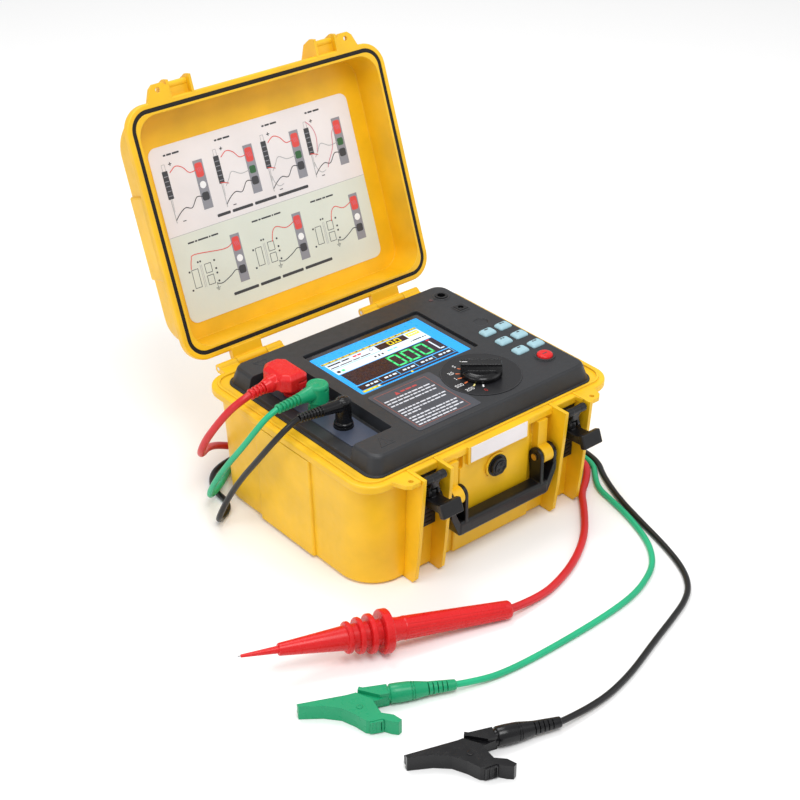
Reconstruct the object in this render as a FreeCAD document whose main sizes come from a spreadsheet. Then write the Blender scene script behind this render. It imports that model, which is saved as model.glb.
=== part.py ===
import FreeCAD, Part
import math
import os
import re
import Sketcher

# Insulation resistance tester in a hinged carry case, with its three test leads plugged in.
# Millimetres. X runs right along the front, Y to the back, Z up.
# The origin is on the floor under the centre of the case's rim. The lid stands open.

Vec = FreeCAD.Vector
doc = FreeCAD.newDocument("insulation_tester")
sheet = doc.addObject("Spreadsheet::Sheet", "size")

SIZES = (
    ("rim_z", 128), ("rim_x", 168), ("rim_y", 136.2), ("rim_r", 27), ("rim_t", 9),
    ("body_x", 161), ("body_y", 127), ("body_r", 40), ("draft", 4), ("wall", 4), ("chamfer", 3.5),
    ("mouth_x", 150), ("mouth_front", 125.4), ("mouth_back", 121.5), ("mouth_r", 16), ("ledge_z", 115),
    ("side_pad", 3.4), ("side_front", 46), ("side_back", 44),
    ("fin_in", 75.5), ("fin_out", 110), ("fin_t", 4),
    ("plate_x", 38), ("plate_y", 138.6), ("plate_low", 110),
    ("valve_z", 90), ("valve_y", 136.5),
    ("grip_y", 142), ("pivot_y", 140.5), ("pivot_z", 81), ("grip_low", 36), ("grip_high", 53),
    ("lever_y", 142), ("lever_z", 95), ("bail_y", 147), ("bail_z", 105.5), ("barrel_y", 150), ("barrel_z", 123),
    ("pin_r", 2), ("play", 0.05), ("gap", 0.3),
    ("hinge_y", 148.4), ("hinge_z", 126.2), ("lid_open", 109.8), ("tab_low", 77), ("tab_high", 115),
    ("lid_rim_z", 130.5), ("lid_card_z", 169), ("lid_top_z", 172.5), ("lid_flange_t", 9),
    ("top_z", 147.7), ("top_x", 142), ("top_front", 118), ("top_back", 114), ("skin", 5),
    ("trough_z", 133), ("trough_right", 93), ("trough_front", 85), ("trough_back", 82),
    ("glass_z", 145.2), ("glass_left", 77), ("glass_right", 80.5), ("glass_front", 19), ("glass_back", 82),
    ("dial_x", 41.8), ("dial_y", 65.2), ("dial_r", 42.7),
    ("key_left", 106.6), ("key_right", 129.1), ("key_first", 4.7), ("key_pitch", 25.3), ("key_w", 17), ("key_d", 13),
    ("key_z", 149.4), ("key_lip", 1.2), ("start_x", 118), ("start_y", 80.4), ("start_r", 8.5),
    ("plug_x", 114.5), ("black_y", 35), ("green_y", 6.5), ("red_y", 48), ("collar_z", 137),
    ("red_lead_r", 4), ("thin_lead_r", 3.1),
)


def fill_sheet():
    for row, (alias, number) in enumerate(SIZES, start=1):
        sheet.set(f"A{row}", alias)
        sheet.set(f"B{row}", str(number))
        sheet.setAlias(f"B{row}", alias)
    doc.recompute()


def formula(text):
    """A formula in cell names, such as 'rim_z - rim_t', as an expression on the sheet."""
    return re.sub(r"[a-z]\w*", r"size.\g<0>", str(text))


def cell(alias):
    return float(sheet.get(alias))


def bind(item, **sizes):
    for name, text in sizes.items():
        item.setExpression(name, formula(text))


def at(item, x, y, z, axis=Vec(0, 0, 1), angle=0.0):
    item.Placement = FreeCAD.Placement(Vec(), FreeCAD.Rotation(axis, angle))
    for name, text in (("x", x), ("y", y), ("z", z)):
        item.setExpression("Placement.Base." + name, formula(text))
    return item


def block(x, y, z, name="block"):
    """A box between low and high formulas on each axis."""
    item = doc.addObject("Part::Box", name)
    bind(item, Length=f"({x[1]}) - ({x[0]})", Width=f"({y[1]}) - ({y[0]})", Height=f"({z[1]}) - ({z[0]})")
    return at(item, x[0], y[0], z[0])


TURNS = {"x": (Vec(0, 1, 0), 90), "y": (Vec(1, 0, 0), -90), "z": (Vec(0, 0, 1), 0)}


def along(item, axis, start, centre):
    places = {"x": (start, *centre), "y": (centre[0], start, centre[1]), "z": (*centre, start)}
    return at(item, *places[axis], *TURNS[axis])


def rod(axis, radius, span, centre, name="rod"):
    item = doc.addObject("Part::Cylinder", name)
    bind(item, Radius=radius, Height=f"({span[1]}) - ({span[0]})")
    return along(item, axis, span[0], centre)


def taper(axis, radius_low, radius_high, span, centre, name="taper"):
    item = doc.addObject("Part::Cone", name)
    bind(item, Radius1=radius_low, Radius2=radius_high, Height=f"({span[1]}) - ({span[0]})")
    return along(item, axis, span[0], centre)


def fuse(name, *items):
    item = doc.addObject("Part::MultiFuse", name)
    item.Shapes = list(items)
    item.Refine = True
    return item


def cut(name, base, *tools):
    item = doc.addObject("Part::Cut", name)
    item.Base = base
    item.Tool = tools[0] if len(tools) == 1 else fuse(name + "_tools", *tools)
    return item


def group(name, *items):
    """Separate solids that are one kind of fastener and share a file."""
    item = doc.addObject("Part::Compound", name)
    item.Links = list(items)
    return item


def mirrored(item, name="mirrored"):
    copy = doc.addObject("Part::Mirroring", name)
    copy.Source = item
    copy.Normal = Vec(1, 0, 0)
    return copy


def both_sides(maker, *args):
    """The same feature on the right and, mirrored, on the left."""
    item = maker(*args)
    return item, mirrored(item)


def rounded(name, item, radius, pick):
    """A fillet or rounding on the edges that pick chooses."""
    doc.recompute()
    fillet = doc.addObject("Part::Fillet", name)
    fillet.Base = item
    edges = enumerate(item.Shape.Edges, start=1)
    fillet.Edges = [(number, radius, radius) for number, edge in edges if pick(edge)]
    return fillet


def lies_flat(edge):
    return edge.BoundBox.ZLength < 0.01


def origin_plane(body, role):
    return next(item for item in body.Origin.OriginFeatures if item.Role == role)


def new_sketch(body, name, role, offset):
    sketch = body.newObject("Sketcher::SketchObject", name)
    sketch.AttachmentSupport = [(origin_plane(body, role), "")]
    sketch.MapMode = "FlatFace"
    sketch.setExpression("AttachmentOffset.Base.z", formula(offset))
    return sketch


def name_size(sketch, number, name, text):
    sketch.renameConstraint(number, name)
    sketch.setExpression("Constraints." + name, formula(text))


def rectangle_sketch(body, name, x, y, radius, offset):
    """A rectangle with rounded corners on a level plane, held by its four sides and its radius."""
    sketch = new_sketch(body, name, "XY_Plane", offset)
    half, bend, rule = 50, 5, Sketcher.Constraint
    ends = ((-half + bend, -half), (half - bend, -half), (half, -half + bend), (half, half - bend),
            (half - bend, half), (-half + bend, half), (-half, half - bend), (-half, -half + bend))
    lines = []
    for start, end in zip(ends[0::2], ends[1::2]):
        lines.append(sketch.addGeometry(Part.LineSegment(Vec(*start, 0), Vec(*end, 0)), False))
    arcs = []
    for quarter, (side_x, side_y) in enumerate(((1, -1), (1, 1), (-1, 1), (-1, -1)), start=-1):
        centre = Vec(side_x * (half - bend), side_y * (half - bend), 0)
        circle = Part.Circle(centre, Vec(0, 0, 1), bend)
        arc = Part.ArcOfCircle(circle, math.radians(90 * quarter), math.radians(90 * quarter + 90))
        arcs.append(sketch.addGeometry(arc, False))
    for number in range(4):
        sketch.addConstraint(rule("Tangent", lines[number], 2, arcs[number], 1))
        sketch.addConstraint(rule("Tangent", arcs[number], 2, lines[(number + 1) % 4], 1))
    for number, direction in enumerate(("Horizontal", "Vertical", "Horizontal", "Vertical")):
        sketch.addConstraint(rule(direction, lines[number]))
    for arc in arcs[1:]:
        sketch.addConstraint(rule("Equal", arcs[0], arc))
    name_size(sketch, sketch.addConstraint(rule("Radius", arcs[0], bend)), "radius", radius)
    name_size(sketch, sketch.addConstraint(rule("DistanceX", -1, 1, lines[1], 1, half)), "right", x[1])
    name_size(sketch, sketch.addConstraint(rule("DistanceX", -1, 1, lines[3], 1, -half)), "left", x[0])
    name_size(sketch, sketch.addConstraint(rule("DistanceY", -1, 1, lines[2], 1, half)), "back", y[1])
    name_size(sketch, sketch.addConstraint(rule("DistanceY", -1, 1, lines[0], 1, -half)), "front", y[0])
    return sketch


def slab(name, x, y, radius, z):
    """A level plate with rounded corners."""
    body = doc.addObject("PartDesign::Body", name)
    pad = body.newObject("PartDesign::Pad", name + "_pad")
    pad.Profile = rectangle_sketch(body, name + "_outline", x, y, radius, z[0])
    bind(pad, Length=f"({z[1]}) - ({z[0]})")
    return body


def drafted(name, low, high, z):
    """A block whose walls lean: low and high are (x, y, radius) at the two levels of z."""
    body = doc.addObject("PartDesign::Body", name)
    bottom = rectangle_sketch(body, name + "_bottom", *low, z[0])
    top = rectangle_sketch(body, name + "_top", *high, z[1])
    loft = body.newObject("PartDesign::AdditiveLoft", name + "_loft")
    loft.Profile = bottom
    loft.Sections = [top]
    return body


def plate(name, role, points, span):
    """A flat piece with straight edges. points are formulas, span is where it starts and ends."""
    body = doc.addObject("PartDesign::Body", name)
    sketch = new_sketch(body, name + "_outline", role, span[0])
    doc.recompute()
    values = [[float(sheet_value(text)) for text in point] for point in points]
    count = len(points)
    for number in range(count):
        line = Part.LineSegment(Vec(*values[number], 0), Vec(*values[(number + 1) % count], 0))
        sketch.addGeometry(line, False)
    for number in range(count):
        sketch.addConstraint(Sketcher.Constraint("Coincident", number, 2, (number + 1) % count, 1))
    for number, (across, up) in enumerate(points):
        first = sketch.addConstraint(Sketcher.Constraint("DistanceX", -1, 1, number, 1, values[number][0]))
        name_size(sketch, first, f"across_{number}", across)
        second = sketch.addConstraint(Sketcher.Constraint("DistanceY", -1, 1, number, 1, values[number][1]))
        name_size(sketch, second, f"up_{number}", up)
    pad = body.newObject("PartDesign::Pad", name + "_pad")
    pad.Profile = sketch
    bind(pad, Length=f"({span[1]}) - ({span[0]})")
    return body


def sheet_value(text):
    """The number that a formula gives."""
    return sheet.evalExpression(formula(text)) if re.search("[a-z]", str(text)) else text


nodes = []


def keep(item, label):
    """Names a finished sub-part; its label is its file's name."""
    item.Label = label
    nodes.append(item)
    return item


def turned(name, start, end, rings):
    """A turned piece on the line from start to end: rings are (distance along, radius)."""
    direction = (Vec(*end) - Vec(*start)).normalize()
    turn = FreeCAD.Rotation(Vec(0, 0, 1), direction)
    pieces = []
    for number, ((low, radius_low), (high, radius_high)) in enumerate(zip(rings, rings[1:])):
        if high <= low:
            continue
        kind = "Part::Cylinder" if radius_low == radius_high else "Part::Cone"
        piece = doc.addObject(kind, f"{name}_{number}")
        piece.Height = high - low
        if radius_low == radius_high:
            piece.Radius = radius_low
        else:
            piece.Radius1 = radius_low
            piece.Radius2 = radius_high
        piece.Placement = FreeCAD.Placement(Vec(*start) + direction * low, turn)
        pieces.append(piece)
    return fuse(name, *pieces) if len(pieces) > 1 else pieces[0]


# ---- carry case ------------------------------------------------------------------------------

RIM_X = ("-rim_x", "rim_x")
RIM_Y = ("-rim_y", "rim_y")


def wall_block(name, inset, radius, low, high):
    """The leaning outer (inset 0) or inner form of the base between two heights."""
    sections = []
    for level in (low, high):
        lean = f"draft * ({level}) / (rim_z - rim_t) - ({inset})"
        half_x = f"body_x + {lean}"
        half_y = f"body_y + {lean}"
        sections.append(((f"-({half_x})", half_x), (f"-({half_y})", half_y), radius))
    return drafted(name, sections[0], sections[1], (low, high))


def chamfer_block():
    small = (("-body_x + chamfer", "body_x - chamfer"), ("-body_y + chamfer", "body_y - chamfer"), "body_r - chamfer")
    lean = "draft * chamfer / (rim_z - rim_t)"
    large = ((f"-body_x - {lean}", f"body_x + {lean}"), (f"-body_y - {lean}", f"body_y + {lean}"), "body_r")
    return drafted("base_foot", small, large, (0, "chamfer"))


def raised_panels():
    """The thicker panels moulded on the side walls and on the middle of the front wall."""
    low_x = ("-body_x - side_pad", "body_x + side_pad")
    high_x = ("-body_x - side_pad - draft + 0.5", "body_x + side_pad + draft - 0.5")
    depth = ("-side_front", "side_back")
    sides = drafted("side_panels", (low_x, depth, 2.5), (high_x, depth, 2.5), ("chamfer", "rim_z - rim_t"))
    lower = drafted("front_panel_low", (("-52", 52), ("-body_y - 3.4", 0), 2), (("-52", 52), ("-body_y - 4.4", 0), 2),
                    (4, 30))
    upper = drafted("front_panel_high", (("-48.3", 48.3), ("-body_y - 4.4", 0), 2),
                    (("-48.3", 48.3), ("-body_y - 7.5", 0), 2), (30, "rim_z - rim_t"))
    return sides, lower, upper


def fin(low):
    """One thin upright plate at the side of a latch bay, with its front edge drawn in towards the foot."""
    outline = (("-120", 1), ("-140", 1), ("-144.5", 6), ("-148.6", 39), ("-151.5", 74), ("-154", 101),
               ("-156", "rim_z + 1"), ("-130", "rim_z + 1"))
    return plate("latch_fin", "YZ_Plane", outline, (low, f"{low} + fin_t"))


def ear(low_z, high_z, name):
    """A flat padlock ear beside the latch bay, with its hole."""
    outline = ((108, "-133"), (138, "-133"), (131, "-149"), (126, "-153"), (115, "-153"), (110.5, "-149"))
    body = plate(name, "XY_Plane", outline, (low_z, high_z))
    return cut(name + "_drilled", body, rod("z", 2.6, (f"{low_z} - 1", f"{high_z} + 1"), (122, "-146.5")))


def handle_lug():
    """The yellow lug that carries one end of the handle, with the column above it."""
    column = block((54.5, 67), ("-pivot_y + 1.5", "-128"), ("pivot_z - 6", "rim_z - rim_t"))
    boss = rod("x", 9.5, (54.5, 67), ("-pivot_y", "pivot_z"))
    return fuse("handle_lug", column, boss)


def hinge_lug(low, high):
    """A base lug round the hinge pin."""
    bridge = block((low, high), (132, "hinge_y"), ("hinge_z - 5", "rim_z"))
    barrel = rod("x", 5, (low, high), ("hinge_y", "hinge_z"))
    return fuse("hinge_lug", bridge, barrel)


def base_shell():
    outer = wall_block("base_outer", 0, "body_r", "chamfer", "rim_z - rim_t")
    rim = slab("base_rim", RIM_X, RIM_Y, "rim_r", ("rim_z - rim_t", "rim_z"))
    rim = rounded("base_rim_soft", rim, 2, lies_flat)
    tongue_out = slab("tongue_outside", ("-161.6", 161.6), ("-129.8", 129.8), 20.6, ("rim_z - 1", "rim_z + 2"))
    tongue_in = slab("tongue_inside", ("-159.1", 159.1), ("-127.3", 127.3), 18.1, ("rim_z - 2", "rim_z + 3"))
    tongue = cut("tongue", tongue_out, tongue_in)
    apron = block(("-plate_x - 3", "plate_x + 3"), ("-plate_y", "-120"), ("plate_low - 2", "rim_z"))
    boss = rod("y", 14, ("-valve_y", "-120"), (0, "valve_z"))
    extras = [tongue, apron, boss, *raised_panels()]
    extras += both_sides(ear, "rim_z - 4.5", "rim_z", "base_ear")
    extras += both_sides(handle_lug)
    extras += both_sides(hinge_lug, 56, "tab_low - 0.5")
    extras += both_sides(hinge_lug, "tab_high + 0.5", 138)
    solid = fuse("base_solid", outer, chamfer_block(), rim, *extras)
    guards = both_sides(fin, "fin_in") + both_sides(fin, "fin_out")
    keep(cut("latch_guards", fuse("guards_whole", *guards), solid), "latch_guards")
    hollow = wall_block("base_hollow", "wall", "body_r - wall", "wall", "ledge_z")
    ledge = slab("ledge_opening", ("-143", 143), ("-119", 115.5), 12, ("ledge_z - 1", "rim_z"))
    mouth = slab("mouth", ("-mouth_x", "mouth_x"), ("-mouth_front", "mouth_back"), "mouth_r",
                 ("rim_z - rim_t", "rim_z + 5"))
    holes = [hollow, ledge, mouth, rod("y", 5.2, ("-valve_y - 1", "-115"), (0, "valve_z"))]
    for low, high in ((44.5, 54), (67.5, 75)):
        holes += both_sides(block, (low, high), ("-150", "-129"), (104, 118.5))
    holes += both_sides(rod, "x", "pin_r + play", (50, 70), ("-pivot_y", "pivot_z"))
    holes += both_sides(rod, "x", "pin_r + play", (50, 142), ("hinge_y", "hinge_z"))
    return keep(cut("base_shell", solid, *holes), "base_shell")


def lid_place(item):
    """Swings a lid piece, drawn shut, to the open position."""
    axis = Vec(0, cell("hinge_y"), cell("hinge_z"))
    turn = FreeCAD.Rotation(Vec(1, 0, 0), -cell("lid_open"))
    item.Placement = FreeCAD.Placement(Vec(), turn, axis)
    return item


def lid_form(name, inset, radius, low, high, lean):
    """A leaning form of the lid between two heights; it narrows by lean towards the top."""
    sections = []
    for shift in (0, lean):
        half_x = f"164.5 - {inset} - {shift}"
        half_y = f"131 - {inset} - {shift}"
        sections.append(((f"-({half_x})", half_x), (f"-({half_y})", half_y), radius))
    return drafted(name, sections[0], sections[1], (low, high))


def lid_fin(low, high):
    outline = (("-126", "lid_rim_z"), ("-154", "lid_rim_z"), ("-155", "lid_rim_z + 8"), ("-150", "lid_rim_z + 21"),
               ("-127", "lid_rim_z + 36"))
    return plate("lid_fin", "YZ_Plane", outline, (low, high))


def lid_tab():
    """The lid's half of a hinge: a web that drops to the pin between the base lugs."""
    web = block(("tab_low", "tab_high"), (133, "hinge_y"), ("lid_rim_z - 1.6", "lid_rim_z + 5"))
    drop = block(("tab_low", "tab_high"), ("hinge_y - 4.5", "hinge_y + 4.5"), ("hinge_z", "lid_rim_z + 5"))
    barrel = rod("x", 5, ("tab_low", "tab_high"), ("hinge_y", "hinge_z"))
    return fuse("lid_tab", web, drop, barrel)


def lid_shell():
    rim = slab("lid_rim", RIM_X, RIM_Y, "rim_r", ("lid_rim_z", "lid_rim_z + lid_flange_t"))
    rim = rounded("lid_rim_soft", rim, 2, lies_flat)
    wall = lid_form("lid_wall", 0, "body_r", "lid_rim_z + 8", "lid_top_z - 4", 3)
    crown = lid_form("lid_crown", 3, "body_r", "lid_top_z - 4", "lid_top_z", 3.5)
    low_x = ("-168", 168)
    high_x = ("-165", 165)
    depth = ("-side_front", "side_back")
    panels = drafted("lid_panels", (low_x, depth, 2.5), (high_x, depth, 2.5), ("lid_rim_z + 8", "lid_top_z - 5"))
    extras = [wall, crown, panels]
    extras += both_sides(ear, "lid_rim_z", "lid_rim_z + 4.5", "lid_ear")
    extras += both_sides(lid_fin, 80, 83)
    extras += both_sides(lid_fin, 107.5, 110.5)
    extras += both_sides(rod, "x", 3.5, (82, 108), ("-148", "lid_rim_z + 9"))
    extras += both_sides(block, (82, 108), ("-148", "-130"), ("lid_rim_z + 7", "lid_rim_z + 10"))
    extras += both_sides(lid_tab)
    solid = fuse("lid_solid", rim, *extras)
    low = (("-155.6", 155.6), ("-123.7", 123.7), 24)
    high = (("-152.5", 152.5), ("-120.6", 120.6), 22)
    cavity = drafted("lid_cavity", low, high, ("lid_rim_z", "lid_card_z"))
    groove_out = slab("groove_outside", ("-162.6", 162.6), ("-130.75", 130.75), 21.6, ("lid_rim_z", "lid_rim_z + 4"))
    groove_in = slab("groove_inside", ("-158.1", 158.1), ("-126.25", 126.25), 17.1, ("lid_rim_z - 1", "lid_rim_z + 5"))
    holes = [cavity, cut("groove", groove_out, groove_in)]
    holes += both_sides(rod, "x", "pin_r + play", (70, 120), ("hinge_y", "hinge_z"))
    return keep(lid_place(cut("lid_shell", solid, *holes)), "lid_shell")


def lid_gasket():
    outside = slab("gasket_outside", ("-162.5", 162.5), ("-130.65", 130.65), 21.5, ("lid_rim_z + 0.6", "lid_rim_z + 4"))
    inside = slab("gasket_inside", ("-158.2", 158.2), ("-126.35", 126.35), 17.2, ("lid_rim_z", "lid_rim_z + 5"))
    return keep(lid_place(cut("lid_gasket", outside, inside)), "lid_gasket")


def lid_card():
    card = slab("card", ("-132", 132), ("-87.2", 103.8), 10, ("lid_card_z - 0.5", "lid_card_z"))
    doc.recompute()
    item = doc.addObject("Part::Compound", "lid_card")
    item.Links = [card]
    return keep(lid_place(item), "lid_card")


def hinge_pins():
    pins = both_sides(rod, "x", "pin_r", (56, 138), ("hinge_y", "hinge_z"))
    return keep(group("hinge_pins", *pins), "hinge_pins")


def name_plate():
    """A blank label plate on the rim's apron."""
    return keep(block(("-plate_x", "plate_x"), ("-plate_y - 0.8", "-plate_y"), ("plate_low", "rim_z - 0.5"),
                      "name_plate"), "name_plate")


def valve():
    """Pressure valve: a bushing through the wall and a knob on it."""
    flange = rod("y", 12, ("-valve_y - 1.5", "-valve_y"), (0, "valve_z"))
    stem = rod("y", 5, ("-valve_y", "-116"), (0, "valve_z"))
    bore = rod("y", 3 + 0.05, ("-valve_y - 2", "-130"), (0, "valve_z"))
    keep(cut("valve_body", fuse("valve_bushing", flange, stem), bore), "valve_body")
    disc = rod("y", 10.5, ("-valve_y - 6", "-valve_y - 1.8"), (0, "valve_z"))
    spindle = rod("y", 3, ("-valve_y - 2", "-132"), (0, "valve_z"))
    dips = []
    for number in range(3):
        angle = math.radians(90 + 120 * number)
        x = round(6.2 * math.cos(angle), 3)
        z = round(6.2 * math.sin(angle), 3)
        dips.append(rod("y", 2.4, ("-valve_y - 7", "-valve_y - 4"), (x, f"valve_z + {z}")))
    keep(cut("valve_knob", fuse("valve_turned", disc, spindle), *dips), "valve_knob")


# ---- latches and handle ----------------------------------------------------------------------


def latch(side, name):
    """One draw latch, stood open: a bracket in the bay, a lever on it and a bail on the lever."""
    def part(item, label):
        doc.recompute()
        finished = item if side > 0 else mirrored(item, label + "_left")
        keep(finished, f"{label}_{name}")

    backing = block((79.9, 109.6), ("-134.5", "-126"), (56, 118))
    slots = [block((84, 106), ("-136", "-133.9"), (60 + 5 * number, 62 + 5 * number)) for number in range(5)]
    ears = []
    for low in (82.3, 104.3):
        web = block((low, low + 3.4), ("-lever_y", "-134"), ("lever_z - 6", "lever_z + 6"))
        ears.append(fuse("ear", web, rod("x", 6, (low, low + 3.4), ("-lever_y", "lever_z"))))
    solid = fuse("bracket_solid", backing, *ears)
    wall = wall_block("bay_wall", 0, "body_r", "chamfer", "rim_z - rim_t")
    pin_hole = rod("x", "pin_r + play", (80, 110), ("-lever_y", "lever_z"))
    part(cut("bracket", solid, wall, pin_hole, *slots), "latch_bracket")

    hub = rod("x", 5.5, (86.3, 103.7), ("-lever_y", "lever_z"))
    neck_outline = (("-lever_y", "lever_z - 5.4"), ("-169", 91.5), ("-173.5", 101), ("-157", 100), ("-lever_y", "lever_z + 5.4"))
    neck = plate("lever_neck", "YZ_Plane", neck_outline, (86.3, 103.7))
    pad_outline = (("-166.5", 105.2), ("-172.3", 91), ("-180", 94), ("-174.2", 108.2))
    pad = plate("lever_pad", "YZ_Plane", pad_outline, (82, 108))
    bail_web = block((92, 98), ("-bail_y - 3", "-lever_y"), ("lever_z", "bail_z + 3"))
    bail_pin = rod("x", 2, (87.8, 102.2), ("-bail_y", "bail_z"))
    part(cut("lever", fuse("lever_solid", hub, neck, pad, bail_web, bail_pin), pin_hole), "latch_lever")

    barrel = rod("x", 4.5, (82.5, 107.3), ("-barrel_y", "barrel_z"))
    arms = []
    for low in (87.8, 98.8):
        shank = block((low, low + 3.4), ("-bail_y - 2.5", "-bail_y + 2.5"), ("bail_z", "barrel_z"))
        arms.append(fuse("shank", shank, rod("x", 4, (low, low + 3.4), ("-bail_y", "bail_z"))))
    bail = fuse("bail_solid", barrel, *arms)
    part(cut("bail", bail, rod("x", 2.05, (80, 110), ("-bail_y", "bail_z"))), "latch_bail")


def latch_pins():
    pins = both_sides(rod, "x", "pin_r", (82.3, 107.7), ("-lever_y", "lever_z"))
    return keep(group("latch_pins", *pins), "latch_pins")


def carry_handle():
    """A bar between two forks; each fork straddles a lug on the case."""
    grip = block(("-60", 60), ("-grip_y - 8.5", "-grip_y + 8.5"), ("grip_low", "grip_high"))
    grip = rounded("grip_bar", grip, 3.5, lambda edge: abs(edge.tangentAt(edge.FirstParameter).x) > 0.9)
    forks = []
    for low, high in ((49.5, 53.9), (67.6, 72)):
        eye = rod("x", 9.5, (low, high), ("-pivot_y", "pivot_z"))
        arm = block((low, high), ("-pivot_y - 8.5", "-pivot_y + 7"), (70, "pivot_z"))
        forks += [eye, arm]
    inner = block((49.5, 53.9), ("-grip_y - 8.5", "-grip_y + 8"), ("grip_low + 1", 72))
    slope = ((67.6, 72), (72, 72), (60, "grip_low + 1"), (55.5, "grip_low + 1"), (55.5, "grip_low + 5"))
    outer = plate("fork_outer", "XZ_Plane", slope, ("grip_y - 8", "grip_y + 8.5"))
    half = fuse("fork", *forks, inner, outer)
    solid = fuse("handle_solid", grip, half, mirrored(half))
    holes = both_sides(rod, "x", "pin_r + play", (45, 75), ("-pivot_y", "pivot_z"))
    return keep(cut("carry_handle", solid, *holes), "carry_handle")


def handle_pins():
    pins = []
    for item in both_sides(lambda: fuse("pin", rod("x", "pin_r", (49, 72.6), ("-pivot_y", "pivot_z")),
                                        rod("x", 3.6, (47.6, 49.2), ("-pivot_y", "pivot_z")))):
        pins.append(item)
    return keep(group("handle_pins", *pins), "handle_pins")


# ---- control panel ---------------------------------------------------------------------------

KEY_ROWS = (0, 1, 2)


def key_centres():
    for row in KEY_ROWS:
        for column in ("key_left", "key_right"):
            yield f"key_{row + 1}_{column[4:]}", column, f"-key_first - {row} * key_pitch"


def control_panel():
    skirt = slab("panel_skirt", ("-mouth_x + gap", "mouth_x - gap"), ("-mouth_front + gap", "mouth_back - gap"),
                 "mouth_r - gap", ("rim_z - rim_t", "rim_z + 1"))
    layers = []
    for inset, level in ((-5, "rim_z + 1"), (-0.7, "top_z - 2.8"), (0.3, "top_z - 1.1"), (2.4, "top_z")):
        across = (f"-top_x + {inset}", f"top_x - {inset}")
        layers.append((level, (across, (f"-top_front + {inset}", f"top_back - {inset}"), 12)))
    decks = []
    for number, ((low_z, low), (high_z, high)) in enumerate(zip(layers, layers[1:])):
        decks.append(drafted(f"panel_deck_{number}", low, high, (low_z, high_z)))
    ring = rod("z", 11, ("top_z - 1", "top_z + 1.4"), ("start_x", "-start_y"))
    pads = [rod("z", 9.5, ("top_z - 1", "top_z + 0.8"), (123.7, 90)),
            slab("jack_pad", (114.5, 130.3), (48, 64), 2, ("top_z - 1", "top_z + 0.8"))]
    solid = fuse("panel_solid", skirt, *decks, ring, *pads)
    inside = slab("panel_inside", ("-139.4", 139.4), ("-114", 110), 9, ("rim_z - rim_t - 1", "top_z - skin"))
    trough_wall = block(("-150", "-trough_right + 3.5"), ("-trough_front - 3.5", "trough_back + 3.5"),
                        ("trough_z - 3.5", "top_z + 5"))
    trough = slab("trough", ("-165", "-trough_right"), ("-trough_front", "trough_back"), 3, ("trough_z", "top_z + 5"))
    recess = slab("glass_recess", ("-glass_left - gap", "glass_right + gap"), ("-glass_front - gap", "glass_back + gap"),
                  3, ("glass_z - 1.5", "top_z + 1"))
    opening = block(("-glass_left + 3", "glass_right - 3"), ("-glass_front + 3", "glass_back - 3"), (140, "top_z"))
    holes = [cut("panel_hollow", inside, trough_wall), trough, recess, opening]
    holes.append(rod("z", 5, (130, 155), ("dial_x", "-dial_y")))
    holes.append(rod("z", "start_r + gap", (130, 155), ("start_x", "-start_y")))
    holes.append(rod("z", 7.3, (130, 155), (123.7, 90)))
    holes.append(rod("z", 2.6, (130, 155), (108.4, 90)))
    holes.append(block((116.2, 128.6), (49.8, 62.2), (130, 155)))
    holes.append(rod("z", 8, ("top_z - 0.7", 155), (117.7, 18)))
    for name, x, y in key_centres():
        holes.append(slab(name + "_hole", (f"{x} - key_w / 2 - gap", f"{x} + key_w / 2 + gap"),
                          (f"{y} - key_d / 2 - gap", f"{y} + key_d / 2 + gap"), 2.3, (130, 155)))
    for y in ("-black_y", "green_y", "red_y"):
        holes.append(rod("z", 6.6, (120, 140), ("-plug_x", y)))
    return keep(cut("control_panel", solid, *holes), "control_panel")


def display():
    keep(slab("display_window", ("-glass_left", "glass_right"), ("-glass_front", "glass_back"), 2.7,
              ("glass_z - 1.5", "glass_z")), "display_window")
    frame = block(("-74", 77), ("-15.5", 78.5), (136, "glass_z - 1.6"), "display_module")
    keep(frame, "display_module")


def dial():
    disc = rod("z", "dial_r", ("top_z", "top_z + 0.5"), ("dial_x", "-dial_y"))
    keep(cut("dial_plate", disc, rod("z", 5, (140, 150), ("dial_x", "-dial_y"))), "dial_plate")
    outline = slab("info_sheet", ("-78", "dial_x - 38"), ("-108", "-27"), 3, ("top_z", "top_z + 0.4"))
    keep(cut("info_label", outline, rod("z", "dial_r + gap", (140, 150), ("dial_x", "-dial_y"))), "info_label")


def selector():
    """The range knob on its shaft, and the rotary switch under the panel."""
    base = rod("z", 21, (1.0, 5.2), (0, 0))
    collar = taper("z", 20, 16.5, (5.2, 7.5), (0, 0))
    grip = rounded("knob_grip", block(("-6.4", 6.4), ("-21.6", 21.6), (3, 15)), 1.2, lambda edge: edge.BoundBox.ZMin > 14.9)
    shaft = rod("z", 3, ("-20", 2), (0, 0))
    knob = fuse("selector_knob", base, collar, grip, shaft)
    knob.Placement = FreeCAD.Placement(Vec(cell("dial_x"), -cell("dial_y"), cell("top_z")),
                                       FreeCAD.Rotation(Vec(0, 0, 1), 50))
    keep(knob, "selector_knob")
    case = rod("z", 14, (124, "top_z - skin - 0.3"), ("dial_x", "-dial_y"))
    nut = rod("z", 5, ("top_z - skin - 1", "top_z - skin - 0.3"), ("dial_x", "-dial_y"))
    bore = rod("z", 3.05, (126, 150), ("dial_x", "-dial_y"))
    keep(cut("selector_switch", fuse("switch_solid", case, nut), bore), "selector_switch")


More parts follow.
